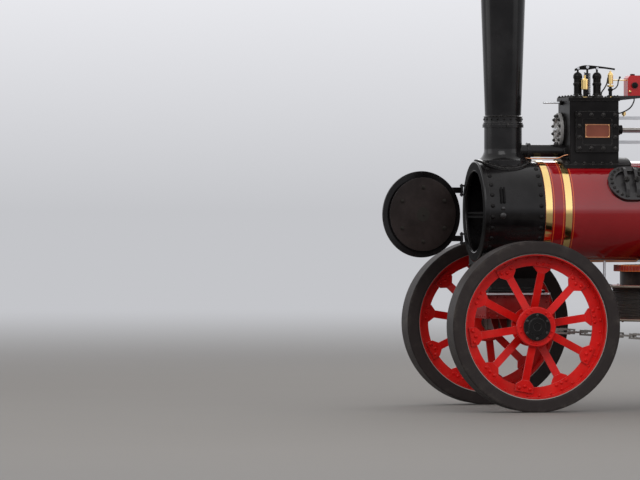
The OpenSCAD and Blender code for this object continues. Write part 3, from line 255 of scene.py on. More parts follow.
class Net:
    """The node tree of a material or of the world."""

    def __init__(self, owner: Any) -> None:
        """Empties the node tree of a new material or world.

        Args:
            owner: the material or world.
        """
        self.owner = owner
        owner.use_nodes = True
        self.tree = owner.node_tree
        self.tree.nodes.clear()

    def node(self, kind: str, settings: dict[str, Any], inputs: dict[Any, Any], output: Any = 0) -> Sock:
        """Any node.

        Args:
            kind: the node's type.
            settings: its properties. "stops" gives a ramp's places and colours.
            inputs: values or sockets for its inputs, by name or number.
            output: name or number of the output wanted.

        Returns:
            The output socket.
        """
        node = self.tree.nodes.new(kind)
        for key, value in settings.items():
            if key != "stops":
                setattr(node, key, value)
                continue
            ramp = node.color_ramp.elements
            while len(ramp) < len(value):
                ramp.new(0.5)
            for element, (place, shade) in zip(ramp, value):
                element.position = place
                element.color = (*shade, 1)
        for key, value in inputs.items():
            socket = node.inputs[key]
            if isinstance(value, Sock):
                self.tree.links.new(value.socket, socket)
            else:
                socket.default_value = value
        return Sock(self, node.outputs[output])

    def place(self) -> Sock:
        """The point in the engine's own frame at rest."""
        return self.node("ShaderNodeTexCoord", {}, {}, "Object")

    def axis(self, vector: Sock, letter: str) -> Sock:
        """The component X, Y or Z of a vector."""
        return self.node("ShaderNodeSeparateXYZ", {}, {0: vector}, letter)

    def noise(self, vector: Sock, scale: float, detail: float = 4.0, rough: float = 0.55) -> Sock:
        """A fractal noise from 0 to 1, its scale in features per metre and its detail in octaves."""
        inputs = {"Vector": vector, "Scale": scale, "Detail": detail, "Roughness": rough}
        return self.node("ShaderNodeTexNoise", {}, inputs)

    def stretch(self, vector: Sock, scale: Sequence[float]) -> Sock:
        """A vector scaled along its axes."""
        settings = {"operation": "MULTIPLY"}
        return self.node("ShaderNodeVectorMath", settings, {0: vector, 1: tuple(scale)})

    def blend(self, factor: Any, first: Any, second: Any) -> Sock:
        """A mix of two colours.

        Args:
            factor: share of the second.
            first: colour or socket.
            second: colour or socket.

        Returns:
            The mixed colour.
        """
        pair = [v if isinstance(v, Sock) else (*v, 1) for v in (first, second)]
        settings = {"data_type": "RGBA", "clamp_factor": True}
        return self.node("ShaderNodeMix", settings, {"Factor": factor, 6: pair[0], 7: pair[1]}, 2)

    def bump(self, height: Sock, strength: float, distance: float, normal: Any = None) -> Sock:
        """A bumped normal.

        Args:
            height: the height from 0 to 1.
            strength: share of the effect.
            distance: depth in metres.
            normal: the normal under it.

        Returns:
            The normal.
        """
        inputs = {"Strength": strength, "Distance": distance, "Height": height}
        if normal is not None:
            inputs["Normal"] = normal
        return self.node("ShaderNodeBump", {}, inputs)

    def soft_edges(self, radius: float) -> Sock:
        """Normals that round off sharp edges by a radius in metres."""
        return self.node("ShaderNodeBevel", {"samples": 4}, {"Radius": radius})

    def edge_wear(self, radius: float) -> Sock:
        """1 along sharp edges and 0 on open faces.

        Args:
            radius: reach of the edges in metres.

        Returns:
            A value from 0 to 1.
        """
        flat = self.node("ShaderNodeNewGeometry", {}, {}, "Normal")
        settings = {"operation": "DOT_PRODUCT"}
        pair = {0: self.soft_edges(radius), 1: flat}
        return self.node("ShaderNodeVectorMath", settings, pair, "Value").ease(0.995, 0.9)

    def finish(self, inputs: dict[str, Any]) -> bpy.types.Material:
        """Closes the tree with a Principled shader of these inputs."""
        return self.close(self.node("ShaderNodeBsdfPrincipled", {}, inputs))

    def close(self, shader: Sock) -> Any:
        """Links a shader to the tree's output.

        Args:
            shader: the shader.

        Returns:
            The material or world.
        """
        kind = "World" if isinstance(self.owner, bpy.types.World) else "Material"
        output = self.tree.nodes.new(f"ShaderNodeOutput{kind}")
        self.tree.links.new(shader.socket, output.inputs["Surface"])
        return self.owner


class Gauge(Enum):
    """What a painted line is measured along."""

    ALONG = "distance ahead of the front axle"
    HEIGHT = "height over the ground"
    FRONT_WHEEL = "distance from the front axle's centre"
    HIND_WHEEL = "distance from the hind axle's centre"
    CRANK = "distance from the crankshaft's centre"
    DRUM = "distance from the drum's centre"

    def read(self, net: Net, point: Sock) -> Sock:
        """The measure at a point.

        Args:
            net: the node tree.
            point: the point in the engine's frame.

        Returns:
            The distance in metres.
        """
        if self is Gauge.HEIGHT:
            return net.axis(point, "Z")
        along = net.axis(point, "X") - AXLE.x
        if self is Gauge.ALONG:
            return along
        middle, letter, level = {
            Gauge.FRONT_WHEEL: (0.0, "Z", AXLE.z),
            Gauge.HIND_WHEEL: (HIND.x - AXLE.x, "Z", HIND.z),
            Gauge.CRANK: (CRANK_X, "Z", CRANK_Z),
            Gauge.DRUM: (DRUM_X, "Y", 0.0),
        }[self]
        flat, up = along - middle, net.axis(point, letter) - level
        return (flat * flat + up * up).root()


@dataclass(frozen=True)
class Line:
    """A painted line: where its middle lies, its width and its colour."""

    gauge: Gauge
    middle: float
    width: float
    colour: Colour
    only: tuple[Gauge, float, float] | None = None


@dataclass(frozen=True)
class Finish:
    """A paint, metal or rubber with its ageing."""

    name: str
    colour: Colour
    rough: float
    metal: float = 0.0
    coat: float = 0.0
    mottle: float = 0.25
    gleam: float = 0.5
    dust: float = 0.0
    worn: float = 0.0
    grain: float = 0.12
    grain_scale: float = 140.0
    pull: tuple[float, float, float] = (1.0, 1.0, 1.0)
    lines: tuple[Line, ...] = ()

    def material(self) -> bpy.types.Material:
        """The material of this finish, made once."""
        found = bpy.data.materials.get(self.name)
        return found or self._made()

    def _made(self) -> bpy.types.Material:
        """The node tree of the finish.

        Returns:
            The new material.
        """
        net = Net(bpy.data.materials.new(self.name))
        point = net.place()
        pulled = net.stretch(point, self.pull)
        broad = net.noise(point, BROAD_SCALE, 5.0, 0.6)
        fine = net.noise(pulled, FINE_SCALE, 3.0)
        dark = tuple(v * (1 - self.mottle) for v in self.colour)
        light = tuple(min(1.0, v * (1 + 0.6 * self.mottle) + 0.02 * self.mottle) for v in self.colour)
        colour = net.blend(broad.ease(0.3, 0.7), dark, light)
        colour = net.blend(fine.ease(0.35, 0.8) * (0.5 * self.mottle), colour, dark)
        rough = self.rough + (broad - 0.5) * 0.25 * self.rough + (fine - 0.5) * 0.2 * self.rough
        for line in self.lines:
            low, high = line.middle - line.width / 2, line.middle + line.width / 2
            mask = line.gauge.read(net, point).within(low, high, PAINT_EDGE)
            if line.only is not None:
                gauge, low, high = line.only
                mask = mask * gauge.read(net, point).within(low, high, PAINT_EDGE)
            colour = net.blend(mask, colour, line.colour)
        metal: Any = self.metal
        if self.worn:
            chips = net.noise(point, CHIP_SCALE, 4.0, 0.7).ease(0.62, 0.5)
            wear = net.edge_wear(WEAR_REACH) * chips * self.worn
            colour = net.blend(wear, colour, BARE_METAL)
            metal = self.metal + wear * (BARE_METALLIC - self.metal)
            rough = rough + wear * (BARE_ROUGH - self.rough)
        if self.dust:
            low = net.axis(point, "Z").ease(DUST_TOP, DUST_FOOT)
            dust = (low * 0.8 + 0.2) * net.noise(point, DUST_SCALE, 6.0, 0.65).ease(0.38, 0.75) * self.dust
            colour = net.blend(dust, colour, ROAD_DUST)
            rough = rough + dust * (DUST_ROUGH - self.rough)
            if self.metal:
                metal = metal * (1 - dust) if isinstance(metal, Sock) else self.metal - dust * self.metal
        grain = net.noise(pulled, self.grain_scale, 3.0, 0.6) * 0.6 + fine * 0.4
        normal = net.bump(grain, self.grain, GRAIN_DEPTH, net.soft_edges(EDGE_R))
        inputs = {"Base Color": colour, "Roughness": rough, "Metallic": metal, "Normal": normal}
        inputs["Specular IOR Level"] = self.gleam
        if self.coat:
            inputs.update({"Coat Weight": self.coat, "Coat Roughness": 0.06})
        return net.finish(inputs)


@dataclass(frozen=True)
class RopeFinish(Finish):
    """Wire rope wound on the drum, with strands across each turn, painted shade between the strands and
    painted shade in the grooves between the turns.
    """

    turn_pitch: float = 0.0225
    strands: int = 260

    def _made(self) -> bpy.types.Material:
        """The node tree of the rope.

        Returns:
            The new material.
        """
        net = Net(bpy.data.materials.new(self.name))
        point = net.place()
        along = net.axis(point, "X") - AXLE.x - DRUM_X
        across = net.axis(point, "Y")
        angle = across.bearing(along)
        height = net.axis(point, "Z")
        lay = (angle * self.strands + height * (TAU * 1.5 / self.turn_pitch)).sine() * 0.5 + 0.5
        turn = (height * (TAU / self.turn_pitch)).sine() * 0.5 + 0.5
        dirt = net.noise(point, 6.0, 5.0, 0.7)
        # Painted shade: the hollows between the strands are darkened to a third of the rope's colour.
        colour = net.blend(lay * 0.7, tuple(v * 0.35 for v in self.colour), self.colour)
        # Painted shade: near-black in the grooves between the turns.
        colour = net.blend(turn.ease(0.25, 0.0), colour, ROPE_GROOVE_SHADE)
        colour = net.blend(dirt.ease(0.45, 0.75) * 0.6, colour, ROPE_GREASE)
        normal = net.bump(lay * 0.6 + turn, 0.7, 0.004)
        inputs = {"Base Color": colour, "Roughness": 0.45 + dirt * 0.25, "Metallic": self.metal}
        return net.finish({**inputs, "Normal": normal})


@dataclass(frozen=True)
class TreadFinish(Finish):
    """Tyre rubber with moulded joints across its tread and scuffs on its walls."""

    gauge: Gauge = Gauge.FRONT_WHEEL
    tread_r: float = 0.72
    blocks: int = 24

    def _made(self) -> bpy.types.Material:
        """The node tree of the rubber.

        Returns:
            The new material.
        """
        net = Net(bpy.data.materials.new(self.name))
        point = net.place()
        centre = (AXLE.x, AXLE.z) if self.gauge is Gauge.FRONT_WHEEL else (HIND.x, HIND.z)
        flat = net.axis(point, "X") - centre[0]
        up = net.axis(point, "Z") - centre[1]
        angle = up.bearing(flat)
        side = abs(net.axis(point, "Y"))
        joint = abs((angle * (self.blocks / 2) + side * 3).sine()).ease(0.05, 0.012)
        radius = self.gauge.read(net, point)
        joint = joint * radius.ease(self.tread_r - 0.012, self.tread_r - 0.004)
        scuff = net.noise(point, 9.0, 6.0, 0.7)
        dust = scuff.ease(0.45, 0.85) * (0.12 + radius.ease(self.tread_r - 0.05, self.tread_r) * 0.35)
        colour = net.blend(dust, self.colour, TYRE_DUST)
        colour = net.blend(joint, colour, TYRE_JOINT)
        grain = net.noise(point, 260.0, 2.0) * 0.4 + scuff * 0.6 - joint * 1.4
        normal = net.bump(grain, 0.45, 0.004, net.soft_edges(TYRE_EDGE_R))
        rough = 0.62 + dust * 0.28
        inputs = {"Base Color": colour, "Roughness": rough, "Normal": normal}
        return net.finish({**inputs, "Specular IOR Level": 0.25})


PINSTRIPE = srgb(206, 98, 36)
CREAM = srgb(226, 206, 150)
PALE_FLANGE_BAND = srgb(122, 112, 100)
# Pale grey for a band round the rim of each of the drum's flanges.
GEAR_LINE = srgb(190, 96, 34)
ROAD_DUST = srgb(142, 128, 108)
TYRE_DUST = srgb(104, 98, 90)
TYRE_JOINT = (0.006, 0.006, 0.006)
# Painted shade for the grooves between the rope's turns.
ROPE_GROOVE_SHADE = (0.012, 0.011, 0.01)
ROPE_GREASE = srgb(96, 78, 60)
BARE_METAL = (0.42, 0.4, 0.38)
BARE_ROUGH, BARE_METALLIC = 0.35, 0.9
DUST_ROUGH = 0.85
DUST_TOP, DUST_FOOT = 1.9, 0.15
WEAR_REACH = 0.004
GRAIN_DEPTH = 0.0012
PAINT_EDGE = 0.0006
EDGE_R = 0.0025
TYRE_EDGE_R = 0.03
BROAD_SCALE, FINE_SCALE, CHIP_SCALE, DUST_SCALE = 2.3, 23.0, 60.0, 7.0
BAND_EDGES = (-0.226, -0.284, -0.4, -0.458, -1.79, -1.836, -2.28, -2.33)
BOILER_LINES = tuple(
    Line(Gauge.ALONG, edge + (0.016 if i % 2 == 0 else -0.016), 0.0045, PINSTRIPE)
    for i, edge in enumerate(BAND_EDGES)
)
DRUM_LINES = (
    *(Line(Gauge.HEIGHT, z, 0.008, GEAR_LINE, (Gauge.DRUM, 0.47, 0.6)) for z in (1.232, 1.184)),
    # Painted shade: the drum's neck, between the gear ring and the top flange, is near-black for the deep
    # shadow under the boiler.
    Line(Gauge.HEIGHT, 1.12, 0.118, srgb(24, 18, 16)),
    # A pale grey band round the rim of each flange.
    *(Line(Gauge.HEIGHT, z, 0.022, PALE_FLANGE_BAND, (Gauge.DRUM, 0.612, 0.63)) for z in (1.05, 0.76)),
)
WHEEL_LINES = (Line(Gauge.FRONT_WHEEL, 0.6165, 0.007, srgb(150, 144, 138)),)


@dataclass(frozen=True)
class Finishes:
    """Every finish of the engine."""

    boiler: Finish = Finish(
        "boiler_maroon", srgb(124, 3, 13), 0.1, coat=0.8, mottle=0.1, gleam=0.3, grain=0.015,
        lines=BOILER_LINES
    )
    maroon: Finish = Finish(
        "carriage_maroon", srgb(124, 7, 6), 0.3, coat=0.1, gleam=0.15, dust=0.12, worn=0.3, mottle=0.22
    )
    wheel: Finish = Finish(
        "wheel_red", srgb(192, 8, 4), 0.34, gleam=0.13, coat=0.06, dust=0.06, worn=0.2, lines=WHEEL_LINES
    )
    hind_wheel: Finish = Finish(
        "hind_wheel_red", srgb(192, 8, 4), 0.34, gleam=0.13, coat=0.06, dust=0.06, worn=0.2
    )
    flywheel: Finish = Finish(
        "flywheel_red", srgb(190, 9, 5), 0.3, coat=0.15, gleam=0.15, worn=0.2,
        lines=(
            Line(Gauge.CRANK, 0.671, 0.012, srgb(168, 166, 162)),
            Line(Gauge.CRANK, 0.64, 0.006, CREAM),
            Line(Gauge.CRANK, 0.13, 0.005, CREAM),
        ),
    )
    drum: Finish = Finish(
        "drum_orange", srgb(150, 34, 17), 0.42, gleam=0.2, dust=0.25, worn=0.4, lines=DRUM_LINES
    )
    black: Finish = Finish("satin_black", srgb(11, 8, 8), 0.36, gleam=0.1, mottle=0.35, worn=0.2)
    low_black: Finish = Finish(
        "road_black", srgb(24, 20, 19), 0.42, gleam=0.25, mottle=0.35, dust=0.3, worn=0.4
    )
    hot_black: Finish = Finish(
        "smokebox_black", srgb(8, 5, 6), 0.17, gleam=0.24, mottle=0.4, grain=0.12, worn=0.15
    )
    flue: Finish = Finish("flue_black", srgb(7, 6, 6), 0.75, gleam=0.1, mottle=0.3, grain=0.3)
    rough_casting: Finish = Finish("bare_casting", srgb(150, 148, 146), 0.5, metal=0.2, mottle=0.4, grain=0.4)
    soot: Finish = Finish(
        "sooty_iron", srgb(16, 13, 12), 0.8, gleam=0.2, mottle=0.5, grain=0.5, grain_scale=60.0
    )
    liner: Finish = Finish(
        "scorched_liner", srgb(30, 21, 19), 0.62, gleam=0.15, mottle=0.5, grain=0.35, grain_scale=50.0
    )
    steel: Finish = Finish(
        "bright_steel", (0.46, 0.45, 0.44), 0.28, metal=1.0, mottle=0.25, grain=0.06,
        pull=(1.0, 6.0, 6.0),
    )
    oily_steel: Finish = Finish("oily_steel", (0.3, 0.28, 0.26), 0.36, metal=0.95, mottle=0.45, dust=0.15)
    iron: Finish = Finish("grey_iron", srgb(112, 108, 104), 0.5, metal=0.4, mottle=0.4, grain=0.3)
    brass: Finish = Finish("polished_brass", (0.92, 0.66, 0.27), 0.1, metal=1.0, mottle=0.1, grain=0.02)
    copper: Finish = Finish("copper", (0.46, 0.21, 0.11), 0.4, metal=1.0, mottle=0.35, grain=0.05)
    field: Finish = Finish("plate_field", srgb(108, 52, 34), 0.4, gleam=0.3, mottle=0.3)
    lid_red: Finish = Finish(
        "lubricator_red", srgb(166, 14, 16), 0.28, coat=0.3, gleam=0.3,
        lines=(Line(Gauge.HEIGHT, 2.6, 0.208, srgb(14, 12, 12)),),
    )
    casting: Finish = Finish("black_casting", srgb(24, 21, 22), 0.36, gleam=0.5, mottle=0.3, worn=0.2)
    glass: Finish = Finish("gauge_white", srgb(226, 224, 214), 0.2, coat=0.8, mottle=0.05, grain=0.0)
    ash: Finish = Finish("scorched_plate", srgb(52, 42, 36), 0.7, metal=0.2, mottle=0.5, dust=0.5, grain=0.4)
    tread_plate: Finish = Finish(
        "floor_plate", srgb(58, 55, 52), 0.5, metal=0.5, mottle=0.45, dust=0.6, worn=0.5
    )
    rope: Finish = RopeFinish("wound_rope", (0.13, 0.12, 0.11), 0.5, metal=0.7)
    front_rubber: Finish = TreadFinish(
        "front_rubber", srgb(33, 26, 25), 0.7, gauge=Gauge.FRONT_WHEEL, tread_r=0.725, blocks=20
    )
    hind_rubber: Finish = TreadFinish(
        "hind_rubber", srgb(33, 26, 25), 0.7, gauge=Gauge.HIND_WHEEL, tread_r=1.0, blocks=28
    )


PAINT = Finishes()


def dress(finish: Finish, *nodes: str) -> None:
    """Gives CAD nodes their material.

    Args:
        finish: the finish.
        nodes: the nodes' names.
    """
    for name in nodes:
        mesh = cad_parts[name].data
        if not mesh.materials:
            mesh.materials.append(finish.material())
        for index in range(len(mesh.materials)):
            mesh.materials[index] = finish.material()


class Pen:
    """Draws many small things into one mesh."""

    def __init__(self) -> None:
        """An empty mesh."""
        self.points: list[Vector] = []
        self.faces: list[tuple[int, ...]] = []

    @staticmethod
    def square_to(axis: Vector) -> tuple[Vector, Vector, Vector]:
        """Three directions square to one another.

        Args:
            axis: the last of them, of any length.

        Returns:
            Two directions across the axis, and the axis.
        """
        w = axis.normalized()
        u = w.orthogonal().normalized()
        return u, w.cross(u), w

    def skin(self, start: int, rings: int, count: int) -> None:
        """Faces between rings of points, and one over each end.

        Args:
            start: the first point of the first ring.
            rings: how many rings there are.
            count: points in each.
        """
        for a in range(start, start + (rings - 1) * count, count):
            for i in range(count):
                b = (i + 1) % count
                self.faces.append((a + i, a + b, a + count + b, a + count + i))
        last = start + (rings - 1) * count
        self.faces.append(tuple(reversed(range(start, start + count))))
        self.faces.append(tuple(range(last, last + count)))

    def turned(self, base: Vector, axis: Vector, profile: Profile, count: int = 12) -> None:
        """A shape turned about an axis, closed at its ends.

        Args:
            base: the foot of the axis.
            axis: its direction.
            profile: a radius and the heights of its rings, from the foot up.
            count: corners of each ring.
        """
        u, v, w = self.square_to(axis)
        start = len(self.points)
        rings = [(radius, height) for radius, *heights in profile for height in heights]
        for radius, height in rings:
            for a in angles(count, 0):
                self.points.append(base + radius * (u * math.cos(a) + v * math.sin(a)) + w * height)
        self.skin(start, len(rings), count)

    def hoop(self, base: Vector, axis: Vector, section: Sequence[Pair], count: int) -> None:
        """A ring, its closed section turned about an axis.

        Args:
            base: the foot of the axis.
            axis: its direction.
            section: radius and height of each corner of the section, in order round it.
            count: corners of the ring.
        """
        u, v, w = self.square_to(axis)
        start, corners = len(self.points), len(section)
        for a in angles(count, 0):
            out = u * math.cos(a) + v * math.sin(a)
            self.points.extend(base + radius * out + w * height for radius, height in section)
        for i in range(count):
            here, there = start + i * corners, start + (i + 1) % count * corners
            for k in range(corners):
                m = (k + 1) % corners
                self.faces.append((here + k, there + k, there + m, here + m))

    def rivet(self, base: Vector, axis: Vector, radius: float) -> None:
        """A snap-head rivet.

        Args:
            base: middle of its seat.
            axis: outward direction.
            radius: radius of the head.
        """
        steps = (0.0, 0.45, 0.75, 0.95)
        sunk = 0.002
        dome = [(radius * math.sqrt(1 - s * s), radius * 0.62 * s + sunk) for s in steps]
        self.turned(base - axis.normalized() * sunk, axis, [(radius, 0.0), *dome], 10)

    def rivets(self, places: Sequence[Vector], axis: Vector, radius: float) -> None:
        """Rivets of one size that all face one way."""
        for place in places:
            self.rivet(place, axis, radius)

    def nut(self, base: Vector, axis: Vector, radius: float, stud: bool = True) -> None:
        """A nut on a washer, with the end of its stud.

        Args:
            base: middle of its seat.
            axis: outward direction.
            radius: radius over the nut's corners.
            stud: whether the stud stands proud.
        """
        self.turned(base, axis, [(radius * 1.15, -0.002, 0.0025)], 14)
        high = radius * 0.85
        faces = [(radius * 0.97, 0.002), (radius, 0.004), (radius, high - 0.003), (radius * 0.86, high)]
        self.turned(base, axis, faces, 6)
        if stud:
            tip = high + radius * 0.35
            end = [(radius * 0.5, high - 0.002), (radius * 0.5, tip), (radius * 0.4, high + radius * 0.45)]
            self.turned(base, axis, end, 10)

    def tube(self, path: Sequence[Vector], radius: float, count: int = 8) -> None:
        """A round bar along a path.

        Args:
            path: the points of its centreline.
            radius: its radius.
            count: corners of its section.
        """
        start, total = len(self.points), len(path)
        u: Vector | None = None
        for i, point in enumerate(path):
            w = (path[min(i + 1, total - 1)] - path[max(i - 1, 0)]).normalized()
            u = self.square_to(w)[0] if u is None else (u - w * u.dot(w)).normalized()
            v = w.cross(u)
            for a in angles(count, 0):
                self.points.append(point + radius * (u * math.cos(a) + v * math.sin(a)))
        self.skin(start, total, count)

    def slab(self, outline: Sequence[Vector], depth: Vector) -> None:
        """A flat outline given a thickness.

        Args:
            outline: its corners in order.
            depth: the way and distance that it is thickened.
        """
        start = len(self.points)
        count = len(outline)
        self.points.extend(outline)
        self.points.extend(p + depth for p in outline)
        self.faces.append(tuple(reversed(range(start, start + count))))
        self.faces.append(tuple(range(start + count, start + 2 * count)))
        for i in range(count):
            j = (i + 1) % count
            self.faces.append((start + i, start + j, start + count + j, start + count + i))

    def block(self, low: Vector, high: Vector) -> None:
        """A box.

        Args:
            low: its lowest corner.
            high: its highest corner.
        """
        corners = [(low.x, low.y), (high.x, low.y), (high.x, high.y), (low.x, high.y)]
        outline = [Vector((x, y, low.z)) for x, y in corners]
        self.slab(outline, Vector((0, 0, high.z - low.z)))

    def piece(
        self, name: str, finish: Finish, slot: Slot, body: Body = Body.ROOT, bevel: float = 0.0
    ) -> None:
        """Closes the mesh as a piece of the engine.

        Args:
            name: the piece's name.
            finish: its finish.
            slot: not used.
            body: the body that it rides on.
            bevel: width of the bevel along its edges.
        """
        mesh = bpy.data.meshes.new(name)
        mesh.from_pydata(self.points, [], self.faces)
        mesh.validate()
        mesh.materials.append(finish.material())
        mesh.shade_smooth()
        mesh.set_sharp_from_angle(angle=math.radians(38))
        item = put(name, mesh)
        if bevel:
            modifier = item.modifiers.new("edges", "BEVEL")
            modifier.width = bevel
            modifier.segments = 2
            modifier.limit_method = "ANGLE"
        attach(item, body.value)
        LOG.info("%s: %d faces on %s", name, len(mesh.polygons), body.value)


@dataclass
class Boiler:
    """Cladding, bands, firebox and side plates."""

    edging_z: float = 1.274
    edging_front: float = -0.24
    edging_back: float = -2.33
    horn_y: float = 0.475
    rivet_r: float = 0.012
    bearing_y: float = 0.492
    manhole_x: float = -0.992
    manhole_tilt: float = 56.0
    studs_r: float = 0.143
    seat_r: float = 0.471

    def build(self) -> None:
        """Dresses the boiler and adds its fittings."""
        dress(PAINT.boiler, "boiler_barrel", "firebox")
        dress(PAINT.brass, "boiler_bands")
        dress(PAINT.maroon, "hornplates")
        dress(PAINT.ash, "ash_pan")
        dress(PAINT.casting, "manhole")
        self.edging()
        self.side_plates()
        self.manhole_studs()
        self.plugs()

    def edging(self) -> None:
        """The pale strip along the underside of the cladding, and the screws of its bands."""
        pen = Pen()
        y = math.sqrt((BOILER_R + 0.002) ** 2 - (BOILER_Z - self.edging_z) ** 2)
        half = Vector((0, 0.006, 0.007))
        for side in (-1, 1):
            for start, end in ((self.edging_front, -0.7), (-0.704, self.edging_back)):
                pen.block(at(end, side * y, self.edging_z) - half, at(start, side * y, self.edging_z) + half)
        for front, back in zip(BAND_EDGES[::2], BAND_EDGES[1::2]):
            x = (front + back) / 2
            pen.block(at(x - 0.02, -0.05, 1.25), at(x + 0.02, 0.05, 1.262))
        pen.piece("cladding_edging", PAINT.steel, Slot.STEEL, bevel=0.001)

    def side_plates(self) -> None:
        """Rivets of the side plates and the caps, nuts and oilers of the crankshaft's bearings."""
        rivets, nuts, cups = Pen(), Pen(), Pen()
        cap = ((-0.125, 2.462), (0.125, 2.462), (0.125, 2.484), (0.07, 2.502), (-0.07, 2.502),
               (-0.125, 2.484))
        cup = ((0.012, 0, 0.012), (0.026, 0.018, 0.052), (0.021, 0.058), (0.012, 0.066), (0.006, 0.07, 0.082))
        for side in (-1, 1):
            out, plate, bearing = side * Y, side * self.horn_y, side * self.bearing_y
            rivets.rivets([at(-2.358, plate, z) for z in spread(0.84, 1.66, 12)], out, self.rivet_r)
            rivets.rivets([at(x, plate, 0.835) for x in spread(-3.52, -2.4, 15)], out, self.rivet_r)
            for x in (CRANK_X - 0.104, CRANK_X + 0.104):
                nuts.nut(at(x, side * (self.horn_y + 0.004), 2.328), -Z, 0.012)
                nuts.turned(at(x, bearing, 2.33), Z, [(0.011, 0, 0.158)], 10)
                nuts.nut(at(x, bearing, 2.486), Z, 0.018)
            nuts.slab([at(CRANK_X + x, side * 0.478, z) for x, z in cap], out * 0.03)
            cups.turned(at(CRANK_X, bearing, 2.5), Z, cup, 20)
        rivets.piece("side_plate_rivets", PAINT.maroon, Slot.BOILER)
        nuts.piece("bearing_caps", PAINT.black, Slot.BLACK, bevel=0.0015)
        cups.piece("bearing_oilers", PAINT.brass, Slot.BRASS)

    def manhole_studs(self) -> None:
        """Studs round the manhole's ring and on its two bridges."""
        down_share, out_share = swing(1.0, math.radians(self.manhole_tilt))
        out, down = Vector((0, out_share, down_share)), Vector((0, down_share, -out_share))
        pen = Pen()
        for a in angles(20):
            u, v = swing(self.studs_r, a)
            u += math.copysign(0.03, u)
            foot = out * math.sqrt(self.seat_r ** 2 - v * v) + down * v
            pen.nut(at(self.manhole_x + u, 0, BOILER_Z) + foot, foot.normalized(), 0.013)
        for x in (-0.046, 0.046):
            pen.nut(at(self.manhole_x + x, 0, BOILER_Z) + out * 0.495, out, 0.024)
        pen.piece("manhole_studs", PAINT.black, Slot.BLACK)

    def plugs(self) -> None:
        """Brass washout plugs low on the firebox and a check valve on the barrel."""
        brass, pipes = Pen(), Pen()
        for side in (-1, 1):
            for x in (-2.44, -2.96):
                foot, out = at(x, side * self.horn_y, 0.9), side * Y
                brass.turned(foot, out, [(0.034, 0, 0.012), (0.02, 0.014)], 20)
                brass.turned(foot, out, [(0.014, 0.012, 0.032)], 4)
        valve = ((0.045, 0, 0.012), (0.024, 0.018, 0.07), (0.032, 0.075, 0.11), (0.012, 0.12, 0.14))
        out = Vector((0, 0.38, -0.22)).normalized()
        foot = at(-1.98, 0, BOILER_Z) + out * BOILER_R
        brass.turned(foot, out, valve, 20)
        low = foot + out * 0.05
        bends = ((0, 0, 0), (-0.05, 0.02, -0.05), (-0.16, 0.03, -0.16), (-0.3, 0.035, -0.22))
        ends = [at(x, 0.5, low.z - 0.24) for x in (-2.4, -2.6)]
        pipes.tube(smooth([low + Vector(bend) for bend in bends] + ends), 0.013)
        brass.piece("washout_plugs", PAINT.brass, Slot.BRASS)
        pipes.piece("feed_pipe", PAINT.copper, Slot.BRASS)


